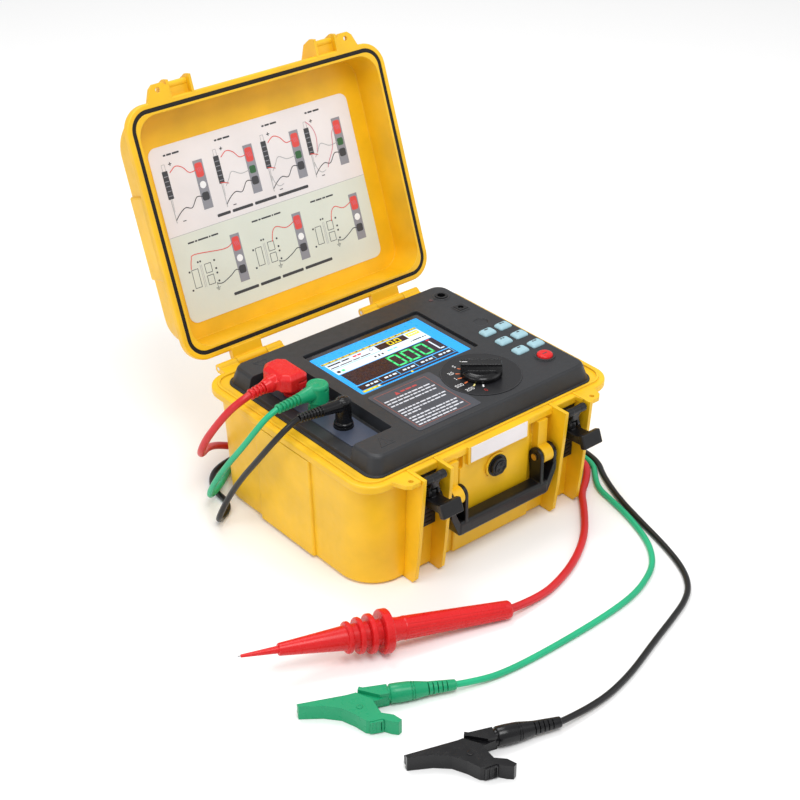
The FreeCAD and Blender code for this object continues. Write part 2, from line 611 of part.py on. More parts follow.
def keys():
    """Six keys and the start button over one silicone mat."""
    for name, x, y in key_centres():
        foot = block((f"{x} - key_w / 2 - key_lip", f"{x} + key_w / 2 + key_lip"),
                     (f"{y} - key_d / 2 - key_lip", f"{y} + key_d / 2 + key_lip"),
                     ("top_z - skin - 1.5", "top_z - skin - 0.3"))
        low = ((f"{x} - key_w / 2", f"{x} + key_w / 2"), (f"{y} - key_d / 2", f"{y} + key_d / 2"), 2)
        high = ((f"{x} - key_w / 2 + 1.3", f"{x} + key_w / 2 - 1.3"),
                (f"{y} - key_d / 2 + 1.3", f"{y} + key_d / 2 - 1.3"), 2)
        stem = slab(name + "_stem", *low, ("top_z - skin - 1", "key_z - 1.2"))
        cap = drafted(name + "_cap", low, high, ("key_z - 1.2", "key_z + 0.3"))
        keep(fuse(name, foot, stem, cap), name)
    foot = rod("z", "start_r + 2", ("top_z - skin - 1.5", "top_z - skin - 0.3"), ("start_x", "-start_y"))
    stem = rod("z", "start_r", ("top_z - skin - 1", "top_z + 2.6"), ("start_x", "-start_y"))
    cap = taper("z", "start_r", "start_r - 1.8", ("top_z + 2.6", "top_z + 4"), ("start_x", "-start_y"))
    keep(fuse("start_button", foot, stem, cap), "start_button")
    keep(slab("keypad_mat", (94, 137.5), ("-92", 4), 4, ("top_z - skin - 4.8", "top_z - skin - 3.8")), "keypad_mat")


def ports():
    body = rod("z", 7, (130, "top_z + 1.6"), (123.7, 90))
    keep(cut("round_port", body, rod("z", 4.6, (136, 155), (123.7, 90))), "round_port")
    body = block((116.5, 128.3), (50.1, 61.9), (134, "top_z + 1.2"))
    well = rod("z", 3.3, (138, 155), (122.4, 56))
    pin = rod("z", 1, (137, "top_z"), (122.4, 56))
    keep(fuse("dc_jack", cut("jack_body", body, well), pin), "dc_jack")
    keep(rod("z", 2.5, (139, "top_z + 0.3"), (108.4, 90), "indicator_led"), "indicator_led")


def terminals():
    strip = slab("strip", ("-132", "-97.5"), ("-71", 70), 3, ("trough_z", "trough_z + 1"))
    holes = [rod("z", 10.3, (130, 140), ("-plug_x", y)) for y in ("-black_y", "green_y", "red_y")]
    keep(cut("terminal_strip", strip, *holes), "terminal_strip")
    for name, y in (("black", "-black_y"), ("green", "green_y"), ("red", "red_y")):
        collar = rod("z", 10, ("trough_z", "collar_z"), ("-plug_x", y))
        stem = rod("z", 6.5, (118, "trough_z"), ("-plug_x", y))
        bore = rod("z", 2.05, (121, 140), ("-plug_x", y))
        keep(cut(name + "_socket", fuse(name + "_socket_solid", collar, stem), bore), name + "_socket")


def inner_parts():
    board = slab("board", ("-80", 130), ("-106", 102), 3, (119.5, 121.1))
    chips = [block((20, 60), (20, 50), (116.5, 119.5)), block(("-40", 0), ("-60", "-20"), (114, 119.5)),
             block((80, 110), ("-20", 10), (112, 119.5))]
    keep(fuse("main_board", board, *chips), "main_board")
    posts = [rod("z", 3, (121.1, "top_z - skin"), (x, y)) for x in ("-76", 100) for y in ("-102", 98)]
    keep(group("board_posts", *posts), "board_posts")
    keep(block(("-140", "-20"), ("-60", 60), ("wall", 66), "battery_pack"), "battery_pack")
    keep(block((0, 130), ("-55", 55), ("wall", 74), "hv_module"), "hv_module")


# ---- plugs, leads, clips and probe -----------------------------------------------------------

PLUG_EXITS = {"black": (-165.5, -31, 161), "green": (-166.5, 4, 155), "red": (-169, 46.5, 153)}


def relief(name, start, end, radius_low, radius_high):
    """The ribbed tail of a plug, which tapers onto its lead."""
    length = (Vec(*end) - Vec(*start)).Length
    return turned(name, start, end, ((0, radius_low), (length, radius_high)))


def plugs():
    pin = ("pin_r", (122, 138))
    for name, y in (("black", "-black_y"), ("green", "green_y"), ("red", "red_y")):
        centre = ("-plug_x", y)
        contact = rod("z", *pin, centre)
        end = PLUG_EXITS[name]
        if name == "black":
            head = rod("z", 8, ("collar_z", 166), centre)
            neck = relief("black_neck", (-114.5, -35, 159.5), (-140, -34, 160.5), 6.6, 6.6)
            tail = relief("black_tail", (-140, -34, 160.5), end, 5.8, 4.3)
            solids = [rounded("black_head", head, 2.5, lambda edge: edge.BoundBox.ZMin > 165.9), neck, tail]
        elif name == "green":
            head = rod("z", 10.5, (144, 164), centre)
            stem = rod("z", 7.5, ("collar_z", 146), centre)
            neck = relief("green_neck", (-114.5, 6.5, 155.5), (-138, 5.5, 155.5), 7, 6.2)
            tail = relief("green_tail", (-138, 5.5, 155.5), end, 5.6, 4.2)
            solids = [rounded("green_head", head, 2, lambda edge: edge.BoundBox.ZMin > 163.9), stem, neck, tail]
        else:
            low = ((-139, -109), (27, 72), 6)
            high = ((-135.5, -112.5), (30.5, 68.5), 4)
            middle = slab("red_block", *low, (149, 162))
            crown = drafted("red_crown", low, high, (162, 165.5))
            stem = rod("z", 8, ("collar_z", 150), centre)
            neck = relief("red_neck", (-130, 47.5, 156.5), (-143, 47.2, 155.8), 7.8, 7.2)
            tail = relief("red_tail", (-143, 47.2, 155.8), end, 6.4, 5)
            solids = [middle, crown, stem, neck, tail]
        keep(fuse(name + "_plug", contact, *solids), name + "_plug")


FLOOR_RED = 4.2
FLOOR_THIN = 3.3

RED_ROUTE = (
    (-169, 46.5, 153), (-180, 46.5, 150), (-190, 53, 140), (-197, 67, 119), (-201, 84, 94), (-200, 97, 72),
    (-188, 113, 58), (-168, 133, 48), (-146, 147, 35), (-118, 149, 20), (-86, 142, 9), (-50, 138, FLOOR_RED),
    (10, 140.5, FLOOR_RED), (75, 139, FLOOR_RED), (130, 141, FLOOR_RED), (163, 131, FLOOR_RED),
    (174, 100, FLOOR_RED), (171.5, 45, FLOOR_RED), (171, -20, FLOOR_RED), (169.5, -50, FLOOR_RED),
    (167.5, -80, FLOOR_RED), (167, -106, FLOOR_RED), (144, -127, FLOOR_RED), (122.5, -140.5, FLOOR_RED),
    (105.5, -161.5, FLOOR_RED), (73, -195, FLOOR_RED), (38, -218, FLOOR_RED), (3, -233, FLOOR_RED),
    (-38, -243, 4.9), (-76.2, -241.2, 9.2))
GREEN_ROUTE = (
    (-166.5, 4, 155), (-177, 4, 152), (-188, 9.5, 138), (-195, 24, 114), (-199, 45, 86), (-201, 64, 60),
    (-201, 80, 36), (-196, 92, 19), (-183, 103, 11.5), (-167, 113, 9.9), (-152, 128, 5), (-132, 144, FLOOR_THIN),
    (-95, 149.5, FLOOR_THIN), (-20, 150, FLOOR_THIN), (40, 148.5, FLOOR_THIN),
    (95, 150, FLOOR_THIN), (140, 150.5, FLOOR_THIN), (173, 139, FLOOR_THIN), (184, 103, FLOOR_THIN),
    (180, 45, FLOOR_THIN), (179.3, -20, FLOOR_THIN), (176.5, -70, FLOOR_THIN), (175.2, -108, FLOOR_THIN),
    (156, -128.5, FLOOR_THIN), (143.5, -146, FLOOR_THIN), (138.3, -170, FLOOR_THIN), (131, -199, FLOOR_THIN),
    (119.5, -231, FLOOR_THIN), (107, -254.5, FLOOR_THIN), (89, -274.5, FLOOR_THIN), (68, -286.5, FLOOR_THIN),
    (40, -296.5, FLOOR_THIN), (8, -301, FLOOR_THIN), (-30, -303, FLOOR_THIN), (-80, -303.5, FLOOR_THIN),
    (-130, -301.5, FLOOR_THIN), (-162, -297, 5), (-188.1, -287.5, 7.5))
BLACK_ROUTE = (
    (-165.5, -31, 161), (-176, -28, 155), (-188, -16, 134), (-195, 3, 106), (-199, 27, 74), (-203, 46, 43),
    (-208, 58, 15), (-201, 68, FLOOR_THIN), (-184, 76, FLOOR_THIN), (-175, 90, FLOOR_THIN),
    (-174, 112, FLOOR_THIN), (-167, 133, FLOOR_THIN), (-149, 151, FLOOR_THIN), (-110, 158.5, FLOOR_THIN),
    (-10, 159, FLOOR_THIN),
    (60, 157.5, FLOOR_THIN), (125, 159, FLOOR_THIN), (172, 153, FLOOR_THIN), (192, 120, FLOOR_THIN),
    (188.5, 60, FLOOR_THIN), (187.2, 0, FLOOR_THIN), (185.5, -60, FLOOR_THIN), (183, -106.5, FLOOR_THIN),
    (165.5, -131.5, FLOOR_THIN), (147, -172, FLOOR_THIN), (134, -214.5, FLOOR_THIN), (121, -260.5, FLOOR_THIN),
    (106.5, -298.5, FLOOR_THIN), (89, -322.5, FLOOR_THIN), (68, -336, FLOOR_THIN), (38, -346.5, FLOOR_THIN),
    (0, -358.5, FLOOR_THIN), (-58, -378.5, FLOOR_THIN), (-110, -387, 4.5), (-150.3, -384.2, 7.5))


def lead(name, route, alias):
    """A round cord along straight runs joined by tangent arcs, with the radii printed."""
    radius = cell(alias)
    points = [Vec(*point) for point in route]
    edges = []
    radii = []
    place = points[0]
    for before, corner, after in zip(points, points[1:], points[2:]):
        run_in = corner - before
        run_out = after - corner
        shorter = min(run_in.Length, run_out.Length)
        trim = 0.45 * shorter
        arc_start = corner - run_in.normalize() * trim
        arc_end = corner + run_out.normalize() * trim
        half_turn = run_in.getAngle(run_out) / 2
        bend = trim / math.tan(half_turn)
        radii.append(round(bend, 1))
        inward = (run_out - run_in).normalize()
        middle = corner + inward * (bend / math.cos(half_turn) - bend)
        edges.append(Part.LineSegment(place, arc_start).toShape())
        edges.append(Part.Arc(arc_start, middle, arc_end).toShape())
        place = arc_end
    edges.append(Part.LineSegment(place, points[-1]).toShape())
    path = Part.Wire(edges)
    section = Part.Wire([Part.Circle(points[0], points[1] - points[0], radius).toShape()])
    tube = path.makePipeShell([section], True, False)
    expected = math.pi * radius ** 2 * path.Length
    print(name, "length", round(path.Length), "radii", min(radii), "volume ratio", round(tube.Volume / expected, 4))
    item = doc.addObject("Part::Feature", name)
    item.Shape = tube
    return keep(item, name)


def leads():
    lead("red_lead", RED_ROUTE, "red_lead_r")
    lead("green_lead", GREEN_ROUTE, "thin_lead_r")
    lead("black_lead", BLACK_ROUTE, "thin_lead_r")


def probe():
    """The red probe: a fluted handle, four finger guards, a cone, a sleeve and a metal tip."""
    start = (-76.2, -241.2, 9.2)
    end = (-338.2, -156.3, 36.4)
    rings = [(0, 6.4), (0.8, 7.8), (2.5, 8.8), (118, 11.2)]
    for low, high, reach, waist in ((127, 136, 21.3, 12.8), (143, 149, 19, 12.8), (154.6, 160, 17.4, 12.6),
                                    (165.6, 171, 15.2, 12.4)):
        rings += [(low - 0.8, waist - 0.6), (low, waist), (low + 0.1, reach - 1.6), (low + 0.5, reach - 0.6),
                  (low + 1.5, reach), (high - 1.5, reach), (high - 0.5, reach - 0.6), (high - 0.1, reach - 1.6),
                  (high, waist), (high + 0.8, waist - 0.6)]
    rings += [(235, 6), (235.8, 5.2), (235.8, 3.7), (270.8, 1.55), (271.5, 1.1)]
    body = turned("probe_solid", start, end, rings)
    tip_rings = ((255, 0.8), (274.5, 0.8), (277, 0.25))
    keep(cut("probe_body", body, turned("probe_bore", start, end, ((254.9, 0.81), (276, 0.81)))), "probe_body")
    keep(turned("probe_tip", start, end, tip_rings), "probe_tip")


def clip(name, boot_end, tip):
    """A fully insulated crocodile clip lying flat, with its connector and the boot on the lead."""
    yaw = math.degrees(math.atan2(tip[1] - boot_end[1], tip[0] - boot_end[0]))
    place = FreeCAD.Placement(Vec(*boot_end), FreeCAD.Rotation(Vec(0, 0, 1), yaw))

    def part(item, label):
        doc.recompute()
        item.Placement = place.multiply(item.Placement)
        return keep(item, f"{name}_{label}")

    pivot = (93, 17)
    boot = turned(name + "_boot", (0, 0, 7.6), (63, 0, 9.4), ((0, 4.6), (3, 5.1), (26, 6.4), (41, 8.6), (63, 9.1)))
    part(boot, "clip_connector")

    strip = plate(name + "_strip", "XY_Plane", ((63, "-7"), (85, "-7.5"), (88, "-9.5"), (90, "-5.5"), (146, "-3.6"),
                                                (146, "-0.4"), (108, 1), (99, 14), (95, 22), (90.5, 22), (84, 10), (63, 6)),
                  (3.2, 11.4))
    cap = plate(name + "_cap", "XY_Plane", ((63, "-7"), (85, "-7.5"), (88, "-9.5"), (90, "-5.5"), (84, "-2"), (72, 6),
                                            (63, 6)), (0.6, 15.2))
    bore = rod("z", 3.6, (0, 20), pivot)
    part(cut(name + "_body", fuse(name + "_body_solid", strip, cap), bore), "clip_body")

    cover = ((146, 0.3), (146, 4.2), (124, 8.6), (109, 15.2), (99, 25.5), (91.5, 36), (87, 38), (77, 37), (69.5, 42.5),
             (64, 45), (60.5, 42), (66, 34), (76, 29), (78, 20), (80, 9), (92, "-2.5"), (110, 0.2))
    rim = ((146, 0.6), (146, 4.2), (124, 8.6), (109, 15.2), (99, 25.5), (91.5, 36), (87, 38), (77, 37), (69.5, 42.5),
           (64, 45), (60.5, 42), (66, 34), (86, 33), (94, 25.5), (105, 12), (124, 4))
    top = plate(name + "_top", "XY_Plane", cover, (11.8, 15))
    bottom = plate(name + "_bottom", "XY_Plane", cover, (0.2, 2.8))
    side = plate(name + "_side", "XY_Plane", rim, (0.2, 15))
    jaw = fuse(name + "_jaw_solid", top, bottom, side)
    part(cut(name + "_jaw", jaw, rod("z", 2.05, ("-1", 20), pivot)), "clip_jaw")

    pin = rod("z", 2, (0.2, 15.1), pivot, name + "_pin")
    spring = cut(name + "_coil", rod("z", 3.4, (3.4, 11.2), pivot), rod("z", 2.3, (3, 12), pivot))
    sets = [group(name + "_pin_set", pin), group(name + "_spring_set", spring)]
    for item in sets:
        item.Placement = place
    return sets


def build():
    fill_sheet()
    base_shell()
    lid_shell()
    lid_gasket()
    lid_card()
    hinge_pins()
    name_plate()
    valve()
    latch(1, "right")
    latch(-1, "left")
    latch_pins()
    carry_handle()
    handle_pins()
    control_panel()
    display()
    dial()
    selector()
    keys()
    ports()
    terminals()
    inner_parts()
    plugs()
    leads()
    probe()
    green_pin, green_spring = clip("green", (-188.1, -287.5, 0), (-319, -222.5, 0))
    black_pin, black_spring = clip("black", (-150.3, -384.2, 0), (-288.9, -333.5, 0))
    keep(group("clip_pins", green_pin, black_pin), "clip_pins")
    keep(group("clip_springs", green_spring, black_spring), "clip_springs")
    doc.recompute()


def check_and_write():
    for item in doc.Objects:
        if "Invalid" in item.State or "Error" in item.State:
            raise RuntimeError(f"{item.Name} failed: {item.State}")
    os.makedirs("parts", exist_ok=True)
    for item in nodes:
        if item.Shape.isNull() or not item.Shape.isValid():
            raise RuntimeError(f"{item.Label} has no valid shape")
        item.Shape.exportStep(f"parts/{item.Label}.step")
    print(len(nodes), "sub-parts written")


build()
check_and_write()
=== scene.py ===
import math

import bmesh
import bpy
from mathutils import Matrix, Vector


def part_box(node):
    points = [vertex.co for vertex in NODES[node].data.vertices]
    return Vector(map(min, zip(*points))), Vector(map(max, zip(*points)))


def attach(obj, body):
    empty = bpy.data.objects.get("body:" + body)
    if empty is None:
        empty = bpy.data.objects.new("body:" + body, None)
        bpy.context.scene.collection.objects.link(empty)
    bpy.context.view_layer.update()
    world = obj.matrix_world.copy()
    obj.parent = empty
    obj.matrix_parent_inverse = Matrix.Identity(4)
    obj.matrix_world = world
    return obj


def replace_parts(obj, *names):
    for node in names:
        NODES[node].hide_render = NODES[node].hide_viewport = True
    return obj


# Insulation resistance tester in its case, with three leads, a probe and two crocodile clips.
# Shapes are made in millimetres in the part's frame and become metres when their mesh is made.

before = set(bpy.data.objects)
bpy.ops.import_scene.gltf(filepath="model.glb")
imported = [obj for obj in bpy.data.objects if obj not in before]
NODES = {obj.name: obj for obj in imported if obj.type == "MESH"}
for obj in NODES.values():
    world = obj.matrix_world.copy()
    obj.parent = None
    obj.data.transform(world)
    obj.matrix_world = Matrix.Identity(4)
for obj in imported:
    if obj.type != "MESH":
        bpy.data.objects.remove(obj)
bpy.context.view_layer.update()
MM = 0.001


def add_object(name, data):
    obj = bpy.data.objects.new(name, data)
    bpy.context.scene.collection.objects.link(obj)
    return obj


# ---- camera and light ----

def add_camera():
    data = bpy.data.cameras.new("camera")
    data.lens = 75.9
    data.clip_start = 0.05
    camera = add_object("camera", data)
    camera.location = (-0.9841, -1.1543, 1.0213)
    camera.rotation_euler = Vector((0.5510, 0.6543, -0.5180)).to_track_quat("-Z", "Y").to_euler()
    bpy.context.scene.camera = camera


def add_area(name, place, target, size, power):
    data = bpy.data.lights.new(name, "AREA")
    data.size = size
    data.energy = power
    lamp = add_object(name, data)
    lamp.location = place
    lamp.rotation_euler = (Vector(target) - Vector(place)).to_track_quat("-Z", "Y").to_euler()


def add_studio():
    add_area("key", (-0.5, -1.2, 2.5), (0, 0, 0.15), 1.2, 34)
    add_area("side", (-2.2, 0.1, 1.2), (0, 0, 0.15), 1.1, 12)
    add_area("fill", (1.7, -1.3, 1.4), (0, 0, 0.15), 1.6, 7)
    add_area("top", (0.2, 0.9, 2.4), (0, 0, 0.2), 1.0, 20)
    world = bpy.data.worlds.new("studio")
    bpy.context.scene.world = world
    world.use_nodes = True
    back = world.node_tree.nodes["Background"]
    back.inputs["Color"].default_value = (1.0, 1.0, 1.0, 1)
    back.inputs["Strength"].default_value = 0.62
    bpy.context.scene.view_settings.view_transform = "Standard"


add_camera()
add_studio()


# ---- materials ----

def moulded(name, colour, rough=0.45, grain=0.25, grain_size=1500, tint=0.06, edge=0.25, radius=0.6,
            coat=0.0, specular=0.5, metallic=0.0, glow=0.0):
    """A moulded finish: fine grain, uneven gloss and tone, rounded edges, and a painted highlight that
    lightens the colour along the edges.
    """
    material = bpy.data.materials.new(name)
    material.use_nodes = True
    nodes, links = material.node_tree.nodes, material.node_tree.links
    shader = nodes["Principled BSDF"]
    shader.inputs["Metallic"].default_value = metallic
    shader.inputs["Specular IOR Level"].default_value = specular
    shader.inputs["Coat Weight"].default_value = coat
    shader.inputs["Coat Roughness"].default_value = 0.12
    where = nodes.new("ShaderNodeTexCoord")

    def noise(scale, detail):
        item = nodes.new("ShaderNodeTexNoise")
        item.inputs["Scale"].default_value = scale
        item.inputs["Detail"].default_value = detail
        links.new(where.outputs["Object"], item.inputs["Vector"])
        return item.outputs["Fac"]

    def spread(source, low, high, floor=0.3, ceiling=0.7):
        item = nodes.new("ShaderNodeMapRange")
        item.inputs["From Min"].default_value = floor
        item.inputs["From Max"].default_value = ceiling
        item.inputs["To Min"].default_value = low
        item.inputs["To Max"].default_value = high
        links.new(source, item.inputs["Value"])
        return item.outputs["Result"]

    def blend(factor, first, second):
        item = nodes.new("ShaderNodeMix")
        item.data_type = "RGBA"
        for socket, value in (("Factor", factor), ("A", first), ("B", second)):
            kind = "VALUE" if socket == "Factor" else "RGBA"
            target = next(s for s in item.inputs if s.name == socket and s.type == kind)
            if isinstance(value, tuple):
                target.default_value = value
            else:
                links.new(value, target)
        return next(s for s in item.outputs if s.type == "RGBA")

    dark = tuple(c * (1 - 2.2 * tint) for c in colour) + (1,)
    plain = tuple(min(1.0, c * (1 + tint)) for c in colour) + (1,)
    tone = blend(spread(noise(22, 4), 0, 1), dark, plain)
    if radius:
        bevel = nodes.new("ShaderNodeBevel")
        bevel.samples = 4
        bevel.inputs["Radius"].default_value = radius * MM
    # Painted highlight: the base colour is lightened along edges, where the bevel normal turns away from the
    # face normal.
    if edge:
        geometry = nodes.new("ShaderNodeNewGeometry")
        turn = nodes.new("ShaderNodeVectorMath")
        turn.operation = "DOT_PRODUCT"
        links.new(bevel.outputs["Normal"], turn.inputs[0])
        links.new(geometry.outputs["Normal"], turn.inputs[1])
        edge_highlight = spread(turn.outputs["Value"], edge, 0, 0.75, 0.99)
        light = tuple(min(1.0, c * 1.25 + 0.05) for c in colour) + (1,)
        tone = blend(edge_highlight, tone, light)
    links.new(tone, shader.inputs["Base Color"])
    links.new(spread(noise(160, 6), rough - 0.06, rough + 0.07), shader.inputs["Roughness"])
    bump = nodes.new("ShaderNodeBump")
    bump.inputs["Strength"].default_value = grain
    bump.inputs["Distance"].default_value = 0.00012
    links.new(noise(grain_size, 3), bump.inputs["Height"])
    if radius:
        links.new(bevel.outputs["Normal"], bump.inputs["Normal"])
    links.new(bump.outputs["Normal"], shader.inputs["Normal"])
    if glow:
        links.new(tone, shader.inputs["Emission Color"])
        shader.inputs["Emission Strength"].default_value = glow
    return material


def ink(name, colour, glow=0.0, rough=0.5):
    return moulded(name, colour, rough=rough, grain=0.05, grain_size=2500, tint=0.02, edge=0, radius=0,
                   glow=glow)


def silicone(name, colour, rough, tint):
    return moulded(name, colour, rough=rough, grain=0.3, grain_size=700, tint=tint, edge=0, radius=0,
                   specular=0.4)


# The edge values set how strongly a painted highlight lightens the colour along each part's edges.
YELLOW = moulded("case_yellow", (0.86, 0.50, 0.006), rough=0.40, grain=0.22, grain_size=900, edge=0.6,
                 radius=1.3)
LID_YELLOW = moulded("lid_yellow", (0.87, 0.49, 0.006), rough=0.40, grain=0.22, grain_size=900, edge=0.6,
                     radius=1.2)
PANEL = moulded("panel_charcoal", (0.022, 0.023, 0.026), rough=0.42, grain=0.5, grain_size=1900, edge=0.5,
                radius=1.4,
                specular=0.4)
BLACK = moulded("black_plastic", (0.006, 0.006, 0.007), rough=0.34, grain=0.2, edge=0, radius=0.5,
                specular=0.38)
GLOSS = moulded("black_gloss", (0.005, 0.005, 0.006), rough=0.24, grain=0.1, edge=0, radius=0.4,
                specular=0.36)
RUBBER = moulded("gasket_rubber", (0.012, 0.010, 0.010), rough=0.6, grain=0.4, edge=0.2, radius=0.9,
                 specular=0.3)
CARD = moulded("card_white", (0.80, 0.765, 0.755), rough=0.4, grain=0.08, tint=0.02, edge=0, radius=0.2)
BLANK = moulded("name_blank", (0.80, 0.76, 0.77), rough=0.42, grain=0.1, tint=0.03, edge=0.2, radius=0.4)
GLASS = moulded("window_acrylic", (0.010, 0.011, 0.014), rough=0.12, grain=0.02, tint=0.02, edge=0.1,
                radius=0.3, coat=0.4)
LABEL = moulded("label_film", (0.060, 0.063, 0.076), rough=0.42, grain=0.2, edge=0.2, radius=0.2,
                specular=0.35)
DIAL = moulded("dial_black", (0.008, 0.008, 0.010), rough=0.33, grain=0.15, edge=0.3, radius=0.3,
               specular=0.4)
STRIP = moulded("strip_blue_grey", (0.055, 0.068, 0.105), rough=0.4, grain=0.15, edge=0.2, radius=0.3)
KEY = moulded("key_blue", (0.33, 0.53, 0.60), rough=0.5, grain=0.2, tint=0.03, edge=0.25, radius=0.5)
RED = moulded("red_plastic", (0.66, 0.012, 0.014), rough=0.27, grain=0.08, tint=0.03, edge=0, radius=0.5,
              specular=0.36)
GREEN = moulded("green_plastic", (0.008, 0.31, 0.135), rough=0.3, grain=0.08, tint=0.03, edge=0, radius=0.5,
                specular=0.36)
RED_LEAD = silicone("red_silicone", (0.60, 0.014, 0.020), 0.36, 0.05)
GREEN_LEAD = silicone("green_silicone", (0.012, 0.42, 0.20), 0.38, 0.05)
BLACK_LEAD = silicone("black_silicone", (0.006, 0.006, 0.007), 0.33, 0.06)
STEEL = moulded("steel", (0.62, 0.62, 0.64), rough=0.25, grain=0.15, edge=0, radius=0, metallic=1.0)
BRASS = moulded("brass", (0.55, 0.36, 0.13), rough=0.3, grain=0.2, edge=0, radius=0, metallic=1.0)
BOARD = moulded("circuit_board", (0.02, 0.17, 0.06), rough=0.35, edge=0.2, radius=0.2)
WRAP = moulded("cell_wrap", (0.05, 0.13, 0.35), rough=0.3, edge=0.2, radius=0.5)
MODULE = moulded("module_shell", (0.14, 0.145, 0.155), rough=0.5, edge=0.2, radius=0.5)
MAT = moulded("silicone_mat", (0.2, 0.2, 0.22), rough=0.6, edge=0.1, radius=0.3)
LENS = moulded("led_lens", (0.05, 0.004, 0.004), rough=0.15, edge=0.1, radius=0.2, coat=0.5)

FINISHES = {
    "base_shell": YELLOW, "lid_shell": LID_YELLOW, "lid_gasket": RUBBER, "lid_card": CARD,
    "name_plate": BLANK,
    "control_panel": PANEL, "display_window": GLASS, "display_module": MODULE, "dial_plate": DIAL,
    "info_label": LABEL,
    "terminal_strip": STRIP, "main_board": BOARD, "battery_pack": WRAP, "hv_module": MODULE,
    "selector_switch": MODULE,
    "keypad_mat": MAT, "indicator_led": LENS, "board_posts": BRASS, "handle_pins": BRASS, "hinge_pins": STEEL,
    "green_clip_body": GREEN, "green_clip_jaw": GREEN, "black_clip_body": GLOSS, "black_clip_jaw": GLOSS,
    "latch_pins": STEEL, "clip_pins": STEEL, "clip_springs": STEEL, "probe_tip": STEEL, "red_socket": RED,
    "green_socket": GREEN, "black_socket": GLOSS, "start_button": RED, "probe_body": RED,
    "latch_guards": YELLOW,
}
for node_name, node in NODES.items():
    for place in node.material_slots:
        place.material = FINISHES.get(node_name, BLACK)


# ---- building pieces ----

def aim(start, end):
    """A place whose Z axis runs from start to end."""
    start, end = Vector(start), Vector(end)
    turn = (end - start).to_track_quat("Z", "Y").to_matrix().to_4x4()
    return Matrix.Translation(start) @ turn


def add_loft(bm, sections, place=Matrix(), ink_number=0):
    """A closed solid through sections that have the same number of points."""
    rings = [[bm.verts.new(place @ Vector(point)) for point in section] for section in sections]
    count = len(rings[0])
    faces = [bm.faces.new(reversed(rings[0])), bm.faces.new(rings[-1])]
    for low, high in zip(rings, rings[1:]):
        for number in range(count):
            after = (number + 1) % count
            faces.append(bm.faces.new((low[number], low[after], high[after], high[number])))
    for face in faces:
        face.material_index = ink_number


def at_level(outline, z):
    return [(x, y, z) for x, y in outline]


def add_prism(bm, outline, low, high, place=Matrix()):
    """A plate of that outline, (x, y) points."""
    add_loft(bm, [at_level(outline, low), at_level(outline, high)], place)


def circle(radius, z, sides=40, centre=(0, 0), wave=None):
    points = []
    for number in range(sides):
        angle = 2 * math.pi * number / sides
        reach = radius if wave is None else radius + wave(angle, z)
        points.append((centre[0] + reach * math.cos(angle), centre[1] + reach * math.sin(angle), z))
    return points


def add_turned(bm, rings, place=Matrix(), sides=40, wave=None):
    """A turned solid: rings are (distance along, radius)."""
    add_loft(bm, [circle(max(radius, 0.02), along, sides, wave=wave) for along, radius in rings], place)


def rounded_rectangle(x, y, radius, steps=5):
    points = []
    corners = ((x[1] - radius, y[0] + radius, -90), (x[1] - radius, y[1] - radius, 0),
               (x[0] + radius, y[1] - radius, 90), (x[0] + radius, y[0] + radius, 180))
    for centre_x, centre_y, start in corners:
        for step in range(steps + 1):
            angle = math.radians(start + 90 * step / steps)
            points.append((centre_x + radius * math.cos(angle), centre_y + radius * math.sin(angle)))
    return points


def add_pillow(bm, x, y, z, radius, edge, place=Matrix(), steps=5):
    """A block with round corners in plan and round upper and lower edges."""
    sections = []
    for level, pull in ((z[0], edge), (z[0] + 0.3 * edge, 0.3 * edge), (z[0] + edge, 0), (z[1] - edge, 0),
                        (z[1] - 0.3 * edge, 0.3 * edge), (z[1], edge)):
        outline = rounded_rectangle((x[0] + pull, x[1] - pull), (y[0] + pull, y[1] - pull),
                                    max(radius - pull, 0.2), steps)
        sections.append(at_level(outline, level))
    add_loft(bm, sections, place)


def add_box(bm, x, y, z, place=Matrix()):
    outline = ((x[0], y[0]), (x[1], y[0]), (x[1], y[1]), (x[0], y[1]))
    add_prism(bm, outline, z[0], z[1], place)


def bake(obj):
    """Applies an object's modifiers to its mesh."""
    graph = bpy.context.evaluated_depsgraph_get()
    mesh = bpy.data.meshes.new_from_object(obj.evaluated_get(graph))
    obj.modifiers.clear()
    obj.data = mesh


def make_piece(name, bm, body, materials, cutter=None, voxel=0.0, relax=0, bevel=0.0, sharp=35):
    """Turns a bmesh in millimetres into a piece in metres that rides on a body."""
    bm.transform(Matrix.Scale(MM, 4))
    bmesh.ops.recalc_face_normals(bm, faces=bm.faces)
    mesh = bpy.data.meshes.new(name)
    bm.to_mesh(mesh)
    bm.free()
    obj = add_object(name, mesh)
    for material in materials:
        mesh.materials.append(material)
    if cutter is not None:
        cutter.transform(Matrix.Scale(MM, 4))
        bmesh.ops.recalc_face_normals(cutter, faces=cutter.faces)
        tool_mesh = bpy.data.meshes.new(name + "_tool")
        cutter.to_mesh(tool_mesh)
        cutter.free()
        tool = add_object(name + "_tool", tool_mesh)
        step = obj.modifiers.new("cut", "BOOLEAN")
        step.object = tool
        step.operation = "DIFFERENCE"
        step.solver = "EXACT"
        step.use_self = True
        bake(obj)
        bpy.data.objects.remove(tool)
    if voxel:
        step = obj.modifiers.new("skin", "REMESH")
        step.mode = "VOXEL"
        step.voxel_size = voxel * MM
        if relax:
            step = obj.modifiers.new("relax", "SMOOTH")
            step.iterations = relax
            step.factor = 0.5
        bake(obj)
        obj.data.materials.clear()
        obj.data.materials.append(materials[0])
    if bevel:
        step = obj.modifiers.new("edge", "BEVEL")
        step.width = bevel * MM
        step.segments = 2
        step.limit_method = "ANGLE"
        bake(obj)
    obj.data.shade_smooth()
    obj.data.set_sharp_from_angle(angle=math.radians(60 if voxel else sharp))
    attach(obj, body)
    return obj


# ---- leads ----

RED_HEIGHT = 4.2
THIN_HEIGHT = 3.3


def laid(height, *points):
    """A route; a point without a height lies on the floor."""
    return tuple(point if len(point) == 3 else (*point, height) for point in points)


